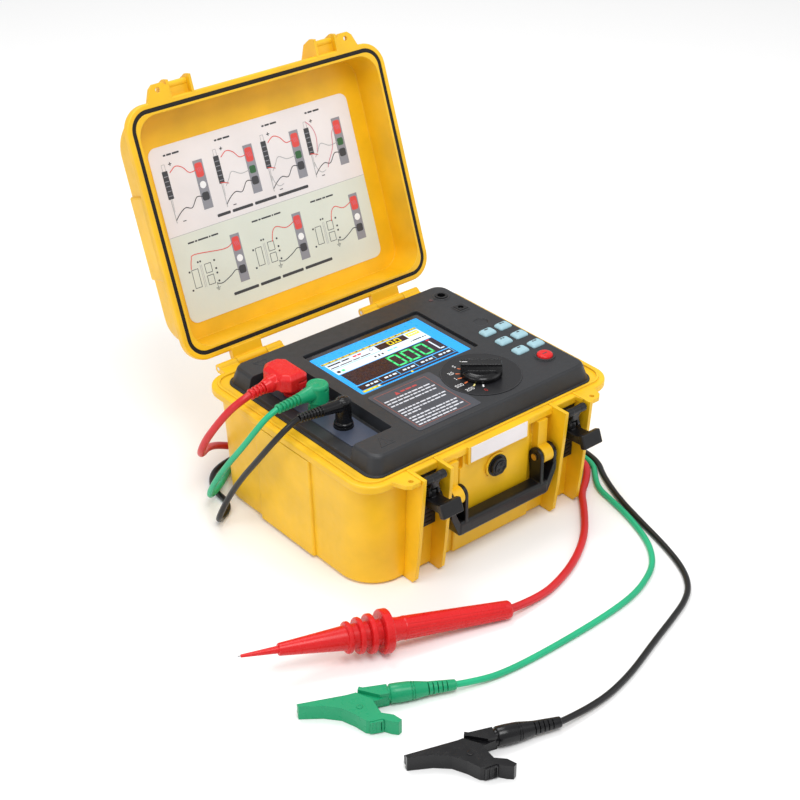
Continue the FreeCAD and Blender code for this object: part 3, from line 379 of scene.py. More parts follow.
RED_ROUTE = laid(
    RED_HEIGHT, (-169, 46.5, 153), (-180, 46.5, 150), (-190, 53, 140), (-197, 67, 119), (-201, 84, 94),
    (-200, 97, 72), (-188, 113, 58), (-168, 133, 48), (-146, 147, 35), (-118, 149, 20), (-86, 142, 9),
    (-50, 138), (10, 140.5), (75, 139), (130, 141), (163, 131), (174, 100), (171.5, 45), (171, -20),
    (169.5, -50), (167.5, -80), (167, -106), (144, -127), (122.5, -140.5), (105.5, -161.5), (73, -195),
    (38, -218), (3, -233), (-38, -243, 4.9), (-76.2, -241.2, 9.2))
GREEN_ROUTE = laid(
    THIN_HEIGHT, (-166.5, 4, 155), (-177, 4, 152), (-188, 9.5, 138), (-195, 24, 114), (-199, 45, 86),
    (-201, 64, 60), (-201, 80, 36), (-196, 92, 19), (-183, 103, 11.5), (-167, 113, 9.9), (-152, 128, 5),
    (-132, 144), (-95, 149.5), (-20, 150), (40, 148.5), (95, 150), (140, 150.5), (173, 139), (184, 103),
    (180, 45), (179.3, -20), (176.5, -70), (175.2, -108), (156, -128.5), (143.5, -146), (138.3, -170),
    (131, -199), (119.5, -231), (107, -254.5), (89, -274.5), (68, -286.5), (40, -296.5), (8, -301),
    (-30, -303), (-80, -303.5), (-130, -301.5), (-162, -297, 5), (-188.1, -287.5, 7.5))
BLACK_ROUTE = laid(
    THIN_HEIGHT, (-165.5, -31, 161), (-176, -28, 155), (-188, -16, 134), (-195, 3, 106), (-199, 27, 74),
    (-203, 46, 43), (-208, 58, 15), (-201, 68), (-184, 76), (-175, 90), (-174, 112), (-167, 133),
    (-149, 151), (-110, 158.5), (-10, 159), (60, 157.5), (125, 159), (172, 153), (192, 120), (188.5, 60),
    (187.2, 0), (185.5, -60), (183, -106.5), (165.5, -131.5), (147, -172), (134, -214.5), (121, -260.5),
    (106.5, -298.5), (89, -322.5), (68, -336), (38, -346.5), (0, -358.5), (-58, -378.5), (-110, -387, 4.5),
    (-150.3, -384.2, 7.5))


def add_lead(name, route, radius, material):
    data = bpy.data.curves.new(name, "CURVE")
    data.dimensions = "3D"
    data.bevel_depth = radius * MM
    data.bevel_resolution = 6
    data.resolution_u = 10
    data.use_fill_caps = True
    data.materials.append(material)
    spline = data.splines.new("NURBS")
    spline.points.add(len(route) - 1)
    for point, place in zip(spline.points, route):
        point.co = (*(Vector(place) * MM), 1)
    spline.order_u = 3
    spline.use_endpoint_u = True
    obj = add_object(name, data)
    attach(obj, "case")
    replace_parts(obj, name.replace("lead_", "") + "_lead")
    return obj


LEADS = {
    "red": add_lead("lead_red", RED_ROUTE, 4.0, RED_LEAD),
    "green": add_lead("lead_green", GREEN_ROUTE, 3.1, GREEN_LEAD),
    "black": add_lead("lead_black", BLACK_ROUTE, 3.1, BLACK_LEAD),
}


# ---- plugs ----

RELIEF_DEPTH = 1.9
RELIEF_SHARE = 0.42


def relief_rings(length, first, last, ribs):
    """The outline of a ribbed relief: full rings with narrow valleys between them."""
    rings = [(0.0, first)]
    pitch = length / (ribs + 0.6)
    for number in range(ribs):
        here = pitch * (number + 0.35)
        radius = first + (last - first) * (number + 0.5) / ribs
        gap = pitch * (1 - RELIEF_SHARE)
        valley = radius - RELIEF_DEPTH
        rings += [(here, radius), (here + 0.25, valley), (here + gap - 0.25, valley), (here + gap, radius)]
    rings += [(length - 0.5, last), (length, last - 0.6)]
    return rings


def span(start, end):
    return (Vector(end) - Vector(start)).length


def plug_stem(bm, x, y, low, radius, top):
    add_turned(bm, ((low, radius), (low + 0.4, radius + 0.3), (low + 2.6, radius + 0.3), (low + 3, radius),
                    (top, radius)),
               Matrix.Translation((x, y, 0)))


def make_red_plug(x, y, collar, tail):
    end = RELIEFS["red"][1]
    bm = bmesh.new()
    cuts = 7.5
    left, right, front, back = -139.0, -109.0, 27.0, 72.0

    def outline(pull):
        cut = cuts - 0.4 * pull
        a, b, c, d = left + pull, right - pull, front + pull, back - pull
        return [(a + cut, c), (b - 4, c), (b, c + 4), (b, d - cut), (b - cut, d), (a + cut, d), (a, d - cut),
                (a, c + cut)]

    levels = ((148.6, 1.6), (149.6, 0.3), (150.4, 0), (162.4, 0), (163.8, 0.8), (166.2, 3.2), (166.9, 4.4))
    add_loft(bm, [at_level(outline(pull), z) for z, pull in levels])
    plug_stem(bm, x, y, collar, 8, 150)
    add_turned(bm, ((-12, 8.8), (0, 8.6), (4, 7.2), (7, 6.6)), aim(tail, end), 32)
    funnel = [[(-138, 36, 151), (-138, 59, 151), (-138, 59, 161.5), (-138, 36, 161.5)],
              [(-146, 42, 150.8), (-146, 52.5, 150.8), (-146, 52.5, 160), (-146, 42, 160)]]
    add_loft(bm, funnel)
    slit = bmesh.new()
    add_box(slit, (-122, -111), (26, 29), (156.2, 158.2))
    return make_piece("plug_red", bm, "case", [RED], cutter=slit, voxel=0.42, relax=3)


def make_green_plug(x, y, collar, tail):
    bm = bmesh.new()
    place = Matrix.Translation((x, y, 0))
    add_turned(bm, ((144, 10.4), (145, 11.4), (161.6, 11.4), (163.4, 10.6), (164, 9.4), (163.5, 8.6),
                    (163.5, 0.1)), place, 48)
    plug_stem(bm, x, y, collar, 7.5, 146)
    axis = aim((x, y, 155), tail)
    sections = []
    for along, wide, tall in ((0, 9.6, 8.4), (8, 9.2, 8), (15, 7.4, 7), (21, 6.3, 6.2), (25, 6, 6)):
        sections.append([(tall * math.cos(a), wide * math.sin(a), along)
                         for a in (2 * math.pi * n / 32 for n in range(32))])
    add_loft(bm, sections, axis)
    slit = bmesh.new()
    add_box(slit, (x + 1, x + 10), (y - 12.5, y - 7.6), (158.0, 159.8))
    return make_piece("plug_green", bm, "case", [GREEN], cutter=slit, voxel=0.42, relax=4)


def make_black_plug(x, y, collar, tail):
    bm = bmesh.new()
    place = Matrix.Translation((x, y, 0))
    add_turned(bm, ((collar, 9), (collar + 0.5, 9.5), (collar + 2.4, 9.5), (collar + 3.2, 8.3), (162.6, 8),
                    (164.6, 7.4),
                    (165.8, 5.6), (166, 4)), place, 48)
    add_turned(bm, ((0, 7), (10, 6.4), (20, 5.9), (27, 5.6)), aim((x, y, 159), tail), 32)
    add_turned(bm, ((165.6, 3.6), (166.5, 3.4), (166.8, 2.6)), place, 24)
    return make_piece("plug_black", bm, "case", [GLOSS], voxel=0.42, relax=3)


def make_relief(name, material, start, end, first, last, ribs):
    bm = bmesh.new()
    add_turned(bm, relief_rings(span(start, end), first, last, ribs), aim(start, end), 36)
    return make_piece(name, bm, "case", [material], bevel=0.25, sharp=30)


PLUG_X = -114.5
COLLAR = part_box("red_socket")[1].z / MM
RELIEFS = {
    "red": ((-145, 47.1, 155.5), (-169, 46.5, 153), 6.5, 5.6, 5),
    "green": ((-138, 5.5, 155.5), (-166.5, 4, 155), 5.9, 4.9, 6),
    "black": ((-140, -34, 160.5), (-165.5, -31, 161), 5.6, 4.6, 7),
}


def make_plugs():
    looks = {"red": (make_red_plug, 48, "red_plastic", RED),
             "green": (make_green_plug, 6.5, "green_plastic", GREEN),
             "black": (make_black_plug, -35, "black_gloss", GLOSS)}
    for name, (maker, y, slot, material) in looks.items():
        start, end, first, last, ribs = RELIEFS[name]
        head = maker(PLUG_X, y, COLLAR, start)
        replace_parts(head, name + "_plug")
        make_relief("plug_relief_" + name, material, start, end, first, last, ribs)


make_plugs()


# ---- clips ----

CLIP_PIVOT = (93, 17)


def make_clip(name, boot_end, tip, material):
    """The boot, thumb pad and pin head of a clip lying flat; its body and jaw are the CAD nodes."""
    ahead = (Vector(tip) - Vector(boot_end)).to_2d()
    place = Matrix.Translation(boot_end) @ Matrix.Rotation(math.atan2(ahead.y, ahead.x), 4, "Z")

    boot = bmesh.new()
    axis = place @ aim((0, 0, 7.6), (63, 0, 9.4))
    rings = ((0, 4.3), (0.8, 5), (2.6, 5.1), (26, 6.4), (38, 8.3), (39.2, 8.5), (39.5, 8.0), (40.1, 8.0),
             (40.4, 8.7),
             (41.6, 8.8), (41.9, 8.2), (42.5, 8.2), (42.8, 8.9), (52, 9.2), (60.6, 9.0), (61.8, 8.4),
             (62.2, 7.2), (64, 6.6))
    add_turned(boot, rings, axis, 48)
    slots = bmesh.new()
    for number in range(5):
        for side in (0, 1):
            along = 6 + 4.4 * number + 2.2 * side
            turn = axis @ Matrix.Rotation(math.radians(90 + 180 * side + 35), 4, "Z")
            add_box(slots, (-7.5, 7.5), (2.6, 9), (along, along + 1.1), turn)
    boot_piece = make_piece(f"clip_{name}_boot", boot, "case", [material], cutter=slots, sharp=30)
    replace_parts(boot_piece, f"{name}_clip_connector")

    pad = bmesh.new()
    for number in range(6):
        along = 78.6 + 1.5 * number
        add_box(pad, (along, along + 0.7), (35.5, 39.1), (2.4, 13.2), place)
    for along in ((76.2, 77.6), (87.0, 88.2)):
        add_box(pad, along, (35.5, 39.3), (1.2, 14.4), place)
    for level in ((1.2, 2.4), (13.2, 14.4)):
        add_box(pad, (77.0, 87.6), (35.5, 39.3), level, place)
    add_box(pad, (76.6, 87.8), (35.2, 36.6), (1.6, 14.0), place)
    pad_piece = make_piece(f"clip_{name}_pad", pad, f"{name}_jaw", [material], voxel=0.3, relax=1)
    head = bmesh.new()
    head_rings = ((14.6, 2.9), (15.5, 2.9), (15.8, 2.4), (15.8, 1.5), (15.4, 1.3), (15.4, 0.1))
    add_turned(head, head_rings, place @ Matrix.Translation((*CLIP_PIVOT, 0)), 24)
    head_piece = make_piece(f"clip_{name}_pin_head", head, f"{name}_jaw", [material], sharp=30)
    return [boot_piece, pad_piece, head_piece, f"{name}_clip_body", f"{name}_clip_jaw"]


GREEN_PIECES = make_clip("green", GREEN_ROUTE[-1][:2] + (0,), (-319, -222.5, 0), GREEN)
BLACK_PIECES = make_clip("black", BLACK_ROUTE[-1][:2] + (0,), (-288.9, -333.5, 0), GLOSS)


# ---- probe ----

def make_probe_grip():
    """A fluted skin on the handle, with a plain strip left along its top."""
    place = aim(RED_ROUTE[-1], (-338.2, -156.3, 36.4))
    up = place.inverted().to_3x3() @ Vector((0, 0, 1))
    top = math.atan2(up.y, up.x)

    def surface(angle, along):
        away = math.atan2(math.sin(angle - top), math.cos(angle - top))
        if 7 < along < 108 and abs(away) > 0.5:
            return -0.6 * max(0.0, math.cos(18 * away)) ** 2
        return 0.0

    rings = [(1.4, 8.0), (1.9, 8.6), (3, 9.05), (6.9, 9.2)]
    rings += [(7.1 + 4.2 * n, 9.22 + 0.0207 * 4.2 * n) for n in range(25)]
    rings += [(111, 11.45), (112.5, 11.4), (113, 11.0)]
    bm = bmesh.new()
    add_turned(bm, rings, place, 216, surface)
    return make_piece("probe_grip", bm, "case", [RED], sharp=40)


PROBE_GRIP = make_probe_grip()


# ---- handle and latches ----

ACROSS = Matrix(((0, 0, 1, 0), (1, 0, 0, 0), (0, 1, 0, 0), (0, 0, 0, 1)))
PIN_HOLE = 2.1


def along_x(y, z):
    return ACROSS @ Matrix.Translation((y, z, 0))


def make_handle():
    """Plates are drawn in (y, z) and run along x."""
    bm = bmesh.new()
    cutter = bmesh.new()
    pivot_y, pivot_z, eye = -140.5, 81.0, 9.3
    tip = [(pivot_y + eye * math.cos(a), pivot_z + eye * math.sin(a)) for a in
           (math.pi * n / 16 for n in range(17))]
    for side in (1, -1):
        def across(low, high):
            return (low, high) if side > 0 else (-high, -low)

        inner = [(-134.2, 41)] + tip + [(-150.3, 40), (-147, 37), (-138, 37)]
        low, high = across(49.7, 53.7)
        add_prism(bm, inner, low, high, ACROSS)
        outer = [(-133.7, 68)] + tip + [(-149, 68)]
        low, high = across(67.8, 71.8)
        add_prism(bm, outer, low, high, ACROSS)
        slope = ((71.8, 72), (71.8, 62), (61.5, 38.5), (55, 37), (55, 42), (67.8, 70))
        points = [(side * x, z) for x, z in slope]
        sections = [[(x, y, z) for x, z in points] for y in (-149.8, -149, -135, -134.2)]
        add_loft(bm, sections)
        low, high = across(40, 78)
        add_turned(cutter, ((low, PIN_HOLE), (high, PIN_HOLE)), along_x(pivot_y, pivot_z), 20)
        low, high = across(52.9, 55)
        add_prism(cutter, [(-147.5, 46), (-136.8, 46), (-136.8, 78), (-147.5, 78)], low, high, ACROSS)
    add_pillow(bm, (-150.4, -133.6), (36.2, 52.8), (-60, 60), 3.6, 1.2, ACROSS, 4)
    for z in (41, 48.6):
        add_box(cutter, (-47, 47), (-152, -150.1), (z, z + 0.7))
    for y in (-147.4, -137.5):
        add_box(cutter, (-47, 47), (y, y + 0.7), (52.5, 54))
    for x in (-47, -16, 15.3, 46.3):
        add_box(cutter, (x, x + 0.7), (-152, -150.1), (41, 49.3))
        add_box(cutter, (x, x + 0.7), (-147.4, -136.8), (52.5, 54))
    return make_piece("handle_grip", bm, "handle", [BLACK], cutter=cutter, voxel=0.5,
                      relax=2)


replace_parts(make_handle(), "carry_handle")


def make_latch(side, name):
    """The lever with its hub and finger slab, and the bail with its roller and two lugs."""
    centre = 95 * side
    hub_y, hub_z, bail_y, bail_z = -142.0, 95.0, -147.0, 105.5
    lever = bmesh.new()
    hub = along_x(hub_y, hub_z)
    add_turned(lever, ((centre - 8.7, 5), (centre - 8, 5.5), (centre + 8, 5.5), (centre + 8.7, 5)), hub, 32)
    neck = [(-142, 89.8), (-156, 91.5), (-168, 92.2), (-175, 96), (-173, 103), (-157, 100.4), (-142, 100.2)]
    sections = []
    for offset, pull in ((-8.7, 1), (-7.7, 0), (7.7, 0), (8.7, 1)):
        sections.append([(centre + offset, y, z + (pull if z < 96 else -pull)) for y, z in neck])
    add_loft(lever, sections)
    lean = math.radians(22)
    slab = Matrix.Translation((centre, -173.2, 99.6)) @ Matrix.Rotation(-lean, 4, "X")
    add_pillow(lever, (-13, 13), (-3.6, 3.6), (-7.6, 7.6), 1.6, 1.2, slab)
    add_pillow(lever, (-3, 3), (-150, -141), (95, 108.3), 1.5, 0.8, Matrix.Translation((centre, 0, 0)))
    add_turned(lever, ((centre - 7.2, 2), (centre + 7.2, 2)), along_x(bail_y, bail_z), 24)
    cutter = bmesh.new()
    add_turned(cutter, ((centre - 12, PIN_HOLE), (centre + 12, PIN_HOLE)), hub, 20)
    for z in (-5.6, 5.0):
        add_box(cutter, (-10.6, 10.6), (-4.2, -3.25), (z, z + 0.6), slab)
    for x in (-10.6, 10):
        add_box(cutter, (x, x + 0.6), (-4.2, -3.25), (-5.6, 5.6), slab)
    piece = make_piece(f"latch_lever_{name}_form", lever, f"lever_{name}", [BLACK],
                       cutter=cutter,
                       voxel=0.42, relax=2)
    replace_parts(piece, f"latch_lever_{name}")

    bail = bmesh.new()
    add_turned(bail, ((centre - 12.5, 4), (centre - 12, 4.5), (centre - 5.5, 4.5), (centre - 5, 4.2),
                      (centre + 5, 4.2),
                      (centre + 5.5, 4.5), (centre + 12, 4.5), (centre + 12.5, 4)),
               along_x(-150, 123), 40)
    sections = []
    for z, half, y in ((110.2, 7.2, -147.6), (112, 6.2, -148), (115, 5.3, -148.8), (118.5, 6.2, -149.6),
                       (122, 8.6, -150)):
        outline = rounded_rectangle((centre - half, centre + half), (y - 2.6, y + 2.6), 1.2, 3)
        sections.append(at_level(outline, z))
    add_loft(bail, sections)
    for low in (-7.2, 3.8):
        add_turned(bail, ((centre + low, 4), (centre + low + 3.4, 4)), along_x(bail_y, bail_z), 28)
        add_box(bail, (centre + low, centre + low + 3.4), (-149.8, -144.6), (105.5, 111.5))
    hole = bmesh.new()
    add_turned(hole, ((centre - 12, PIN_HOLE), (centre + 12, PIN_HOLE)), along_x(bail_y, bail_z), 20)
    piece = make_piece(f"latch_bail_{name}_form", bail, f"bail_{name}", [BLACK], cutter=hole,
                       voxel=0.42, relax=2)
    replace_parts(piece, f"latch_bail_{name}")


make_latch(1, "right")
make_latch(-1, "left")


def top_of(node):
    """The middle of a CAD node's top, in millimetres."""
    low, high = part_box(node)
    return (low.x + high.x) / 2 / MM, (low.y + high.y) / 2 / MM, high.z / MM


def make_valve():
    """A faceted cap with three raised lobes round a dished centre."""
    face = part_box("valve_knob")[0].y / MM
    place = Matrix.Translation((0, face, 90)) @ Matrix.Rotation(math.radians(-90), 4, "X")
    bm = bmesh.new()

    def facets(angle, _):
        flat = math.pi / 8
        turn = (angle + flat) % (2 * flat) - flat
        return 10.4 * (math.cos(flat) / math.cos(turn) - 1) * 0.9

    add_turned(bm, ((0.8, 8.0), (0.85, 9.2), (1.6, 10.2), (5.0, 10.4), (5.4, 10.1)), place, 96, facets)
    add_turned(bm, ((0.2, 7.4), (0, 7.0), (0.1, 6.6), (1.2, 6.2))[::-1], place, 48)
    add_turned(bm, ((0.4, 6.3), (1.5, 6.3)), place, 40)
    add_turned(bm, ((4, 2.9), (18, 2.9)), place, 24)
    dish = bmesh.new()
    for number in range(3):
        angle = math.radians(30 + 120 * number)
        spot = place @ Matrix.Translation((4.1 * math.cos(angle), 4.1 * math.sin(angle), 0))
        add_turned(dish, ((-1, 1.9), (1.1, 1.9)), spot, 24)
    piece = make_piece("valve_cap", bm, "valve", [BLACK], cutter=dish, voxel=0.22, relax=1)
    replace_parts(piece, "valve_knob")


make_valve()


# ---- keys, start button and selector ----

MARK = ink("key_mark", (0.05, 0.06, 0.07))
WHITE_INK = ink("white_ink", (0.78, 0.78, 0.78))
KEY_MARKS = {
    "key_1_left": ((-2.6, 2.6),), "key_1_right": ((-3.2, 0.2), (1.2, 3.2)),
    "key_2_left": ((-2.8, -0.6), (0.4, 2.8)),
    "key_2_right": ((-1.8, 1.8),), "key_3_left": ((-2.2, 2.2),), "key_3_right": ((-3, -0.8), (0, 3)),
}


def make_keys():
    for name, marks in KEY_MARKS.items():
        x, y, top = top_of(name)
        bm = bmesh.new()
        sections = []
        for z, pull in ((141.4, 0), (top - 1.4, 0), (top - 1.0, 0.15), (top + 0.3, 1.3), (top + 0.7, 1.9),
                        (top + 0.8, 2.8)):
            outline = rounded_rectangle((x - 8.5 + pull, x + 8.5 - pull), (y - 6.5 + pull, y + 6.5 - pull),
                                        2.6, 6)
            sections.append(at_level(outline, z))
        add_loft(bm, sections)
        key = make_piece(name + "_cap", bm, name, [KEY], sharp=50)
        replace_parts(key, name)
        bm = bmesh.new()
        for first, last in marks:
            add_box(bm, (x + first, x + last), (y + 1.5, y + 3.4), (top + 0.2, top + 0.9))
        make_piece(name + "_mark", bm, name, [MARK])


make_keys()


def make_start():
    x, y, top = top_of("start_button")
    place = Matrix.Translation((x, y, 0))
    bm = bmesh.new()
    add_turned(bm, ((142, 8.4), (top - 1.6, 8.4), (top - 1.0, 8.1), (top - 0.4, 7.2), (top - 0.1, 5.8),
                    (top - 0.25, 3),
                    (top - 0.3, 0.1)), place, 64)
    button = make_piece("start_cap", bm, "start", [RED], sharp=50)
    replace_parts(button, "start_button")
    bm = bmesh.new()
    add_box(bm, (x - 3, x + 3), (y - 0.4, y + 0.8), (top - 1, top - 0.12))
    make_piece("start_mark", bm, "start", [MARK])


make_start()


def make_selector():
    """A round skirt with a straight grip across it; the top of the grip is dished between two long rims."""
    x, y, top = top_of("dial_plate")
    place = Matrix.Translation((x, y, top - 0.5)) @ Matrix.Rotation(math.radians(50), 4, "Z")
    bm = bmesh.new()
    add_turned(bm, ((1.0, 20.6), (1.4, 21), (4.4, 21), (5.4, 20.3), (6.2, 19.4), (7.6, 16.8), (8.0, 15.6)),
               place, 72)
    sections = []
    for z, wide, long in ((2, 8.0, 21.4), (6, 7.6, 21.4), (11, 6.7, 21.2), (13.6, 6.3, 21),
                          (14.6, 5.6, 20.4)):
        outline = rounded_rectangle((-wide, wide), (-long, long), 1.6, 3)
        sections.append(at_level(outline, z))
    add_loft(bm, sections, place)
    for side in (-1, 1):
        add_pillow(bm, (side * 5.6 - 0.9, side * 5.6 + 0.9), (-20.8, 20.8), (13, 15.3), 0.6, 0.5, place, 2)
    add_turned(bm, ((-18, 2.95), (2, 2.95)), place, 24)
    knob = make_piece("selector_grip", bm, "selector", [GLOSS], voxel=0.4, relax=2)
    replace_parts(knob, "selector_knob")
    bm = bmesh.new()
    add_box(bm, (-0.5, 0.5), (14.5, 20.2), (13.9, 14.75), place)
    make_piece("selector_pointer", bm, "selector", [WHITE_INK])


make_selector()


# ---- printing ----

FILM_BASE = 0.03
FILM_STEP = 0.045


class Print:
    """Flat inked shapes, each a thin film, gathered into one piece."""

    def __init__(self, inks, place):
        self.bm = bmesh.new()
        self.inks = inks
        self.names = list(inks)
        self.place = place

    def shape(self, ink_name, outline, level=0):
        base = FILM_BASE + FILM_STEP * level
        sections = [at_level(outline, base + lift) for lift in (-FILM_BASE, FILM_STEP / 3)]
        add_loft(self.bm, sections, self.place, self.names.index(ink_name))

    def bar(self, ink_name, x, y, level=0, radius=0.0):
        outline = rounded_rectangle(x, y, radius, 4) if radius else ((x[0], y[0]), (x[1], y[0]), (x[1], y[1]),
                (x[0], y[1]))
        self.shape(ink_name, outline, level)

    def disc(self, ink_name, centre, radius, level=0, sides=24):
        self.shape(ink_name, [(px, py) for px, py, _ in circle(radius, 0, sides, centre)], level)

    def line(self, ink_name, points, width, level=0, closed=False):
        """A stroke along points, made of one straight band per segment."""
        pairs = list(zip(points, points[1:] + (points[:1] if closed else [])))
        for (ax, ay), (bx, by) in pairs:
            run = Vector((bx - ax, by - ay))
            if run.length < 1e-6:
                continue
            aside = Vector((-run.y, run.x)).normalized() * width / 2
            self.shape(ink_name, ((ax - aside.x, ay - aside.y), (bx - aside.x, by - aside.y),
                                  (bx + aside.x, by + aside.y),
                                  (ax + aside.x, ay + aside.y)), level)

    def wave(self, ink_name, points, width, level=0):
        """A smooth wire through points."""
        smooth = []
        padded = [points[0]] + list(points) + [points[-1]]
        for before, start, end, after in zip(padded, padded[1:], padded[2:], padded[3:]):
            for step in range(6):
                t = step / 6
                smooth.append(tuple(
                    0.5 * (2 * b + (c - a) * t + (2 * a - 5 * b + 4 * c - d) * t * t
                           + (3 * b - a - 3 * c + d) * t ** 3)
                    for a, b, c, d in zip(before, start, end, after)))
        self.line(ink_name, smooth + [tuple(points[-1])], width, level)

    def words(self, ink_name, x, y, height, lengths, gap=1.4, level=0):
        """A run of plain bars that stands for a line of print."""
        at = x
        for length in lengths:
            self.bar(ink_name, (at, at + length), (y, y + height), level, height * 0.3)
            at += length + gap

    def finish(self, name, body):
        return make_piece(name, self.bm, body, [self.inks[key] for key in self.names], sharp=30)


SEGMENTS = {"a": ((0, 2), (1, 2)), "b": ((1, 2), (1, 1)), "c": ((1, 1), (1, 0)), "d": ((0, 0), (1, 0)),
            "e": ((0, 1), (0, 0)),
            "f": ((0, 2), (0, 1)), "g": ((0, 1), (1, 1))}
DIGITS = {"0": "abcdef", "1": "bc", "2": "abged", "5": "afgcd"}


def write_digit(sheet, ink_name, digit, x, y, wide, tall, stroke, level=0):
    """One figure built from straight strokes in a box whose lower left corner is (x, y)."""
    for name in DIGITS[digit]:
        ends = [Vector((x + across * wide, y + up * tall / 2)) for across, up in SEGMENTS[name]]
        run = (ends[1] - ends[0]).normalized() * stroke / 2
        sheet.line(ink_name, [tuple(ends[0] - run), tuple(ends[1] + run)], stroke, level)


def make_screen():
    top = top_of("display_window")[2]
    colours = {"blue": (0.004, 0.31, 0.80), "dark": (0.016, 0.004, 0.014), "white": (0.60, 0.70, 0.78),
               "green": (0.05, 0.62, 0.20), "gold": (0.42, 0.33, 0.01), "yellow": (0.80, 0.66, 0.03),
               "red": (0.65, 0.02, 0.04), "cyan": (0.12, 0.50, 0.85)}
    inks = {}
    for key, colour in colours.items():
        glow, rough = (0.1, 0.25) if key == "dark" else (0.35, 0.3)
        inks[key] = ink("screen_" + key, colour, glow, rough)
    sheet = Print(inks, Matrix.Translation((0, 0, top)))
    sheet.bar("blue", (-74.5, 72), (-16.3, 73), 0, 1.5)
    sheet.bar("gold", (-71, 57.5), (55.2, 58.4), 1)
    for number in range(42):
        x = -70 + 3.0 * number
        sheet.bar("yellow" if number % 3 else "dark", (x, x + 1.1 + 0.4 * (number % 2)), (56.0, 57.6), 2)
    sheet.bar("white", (-68.8, 57), (30.2, 54.3), 1)
    sheet.bar("dark", (-3, 36.6), (42.8, 53.4), 2)
    for number, digit in enumerate("00"):
        write_digit(sheet, "yellow", digit, 12.5 + 9.5 * number, 44.8, 5.4, 6.6, 1.3, 3)
    sheet.bar("yellow", (19.4, 20.8), (44.2, 45.6), 3)
    sheet.bar("yellow", (38.6, 54.8), (45.6, 52.6), 2, 0.8)
    sheet.words("white", 40.6, 48, 2, (2.4, 3.2, 2.4, 2), 0.8, 3)
    sheet.words("dark", -67.4, 49.6, 2.4, (17, 10), 1.4, 2)
    sheet.words("red", -34, 49.2, 2.8, (5, 5), 1.0, 2)
    sheet.disc("dark", (-9.5, 50.6), 2.4, 2)
    sheet.disc("white", (-9.5, 50.6), 1.7, 3)
    sheet.words("dark", -67.4, 44.2, 1.5, (11, 16, 9, 13), 1.2, 2)
    sheet.bar("cyan", (-68.8, -3), (41.6, 42.3), 2)
    sheet.bar("dark", (-66.6, -62.6), (33.4, 37.4), 2)
    sheet.bar("green", (-60.6, -56.8), (33.4, 37), 2)
    for x in (-16.4, -11.4, -6.6):
        sheet.bar("dark", (x, x + 2.2), (34.4, 37.6), 2)
    sheet.words("cyan", 2, 36, 2.2, (7, 5), 1.2, 2)
    sheet.words("dark", 34, 36, 1.8, (1.4, 12, 2.4, 1.6), 1.2, 2)
    sheet.bar("dark", (-67.4, 56.6), (1.9, 29.4), 2)
    for number, digit in enumerate("000"):
        write_digit(sheet, "green", digit, -8.6 + 18.2 * number, 5.4, 11.4, 20.4, 2.6, 3)
    sheet.bar("green", (5.4, 8.0), (3.6, 6.2), 4)
    sheet.line("white", [(48.4, 25), (48.4, 5.6), (54, 5.6)], 1.9, 3)
    sheet.bar("red", (46.8, 51), (26.6, 28.4), 3)
    sheet.bar("cyan", (-69.4, 57.6), (0.5, 1.3), 2)
    sheet.bar("dark", (-69.4, 57.6), (-9.4, 0.1), 2)
    for number in range(5):
        x = -64 + 24.6 * number
        sheet.bar("cyan", (x + 21, x + 21.7), (-8.8, -0.4), 3)
        sheet.words("white", x + 3, -5.8, 2.6, (4.6, 3, 5), 1.6, 3)
    sheet.bar("dark", (-48, 57.6), (-13.8, -10.6), 2)
    sheet.bar("gold", (-71, -48), (-14, -10.4), 2)
    sheet.words("yellow", -69.6, -13.2, 1.9, (3, 6, 4), 1.3, 3)
    sheet.words("white", -51, -13.4, 2.2, (2.2,), 1, 3)
    sheet.bar("yellow", (-7, -4.6), (-13.4, -10.9), 3, 0.4)
    sheet.finish("display_picture", "case")


make_screen()


def make_dial_print():
    x, y, top = top_of("dial_plate")
    inks = {"white": WHITE_INK, "orange": ink("orange_ink", (0.68, 0.16, 0.05)),
            "yellow": ink("yellow_ink", (0.75, 0.66, 0.25)),
            "red": ink("red_ink", (0.42, 0.03, 0.02)), "ring": moulded("dial_ring", (0.03, 0.03, 0.034),
                    rough=0.3, edge=0)}
    sheet = Print(inks, Matrix.Translation((x, y, top)))
    ticks = (("orange", 116), ("orange", 141), ("orange", 163), ("orange", 188), ("yellow", 211),
             ("white", 233))
    for ink_name, angle in ticks:
        turn = math.radians(angle)
        out = Vector((math.cos(turn), math.sin(turn)))
        sheet.line(ink_name, [tuple(out * 21.8), tuple(out * 26.4)], 1.7, 1)
    labels = (("white", "10", 88, 31), ("white", "5", 113, 31), ("white", "25", 140, 31),
              ("white", "1", 163, 29.5),
              ("white", "500", 186, 33.2), ("white", "250", 208, 33.2), ("red", "0", 236, 32.5))
    for ink_name, figures, angle, radius in labels:
        turn = math.radians(angle)
        centre = Vector((radius * math.cos(turn), radius * math.sin(turn)))
        wide, tall, gap = 2.1, 4.0, 3.5
        start = centre.x - (len(figures) - 1) * gap / 2 - wide / 2
        for number, figure in enumerate(figures):
            write_digit(sheet, ink_name, figure, start + gap * number, centre.y - tall / 2, wide, tall, 0.8,
                        1)
        if figures == "25":
            sheet.disc(ink_name, (start + 2.8, centre.y - tall / 2), 0.5, 1, 10)
    edge = [tuple(p[:2]) for p in circle(41.9, 0, 72)]
    sheet.line("ring", edge, 0.7, 1, closed=True)
    sheet.finish("dial_print", "case")


make_dial_print()


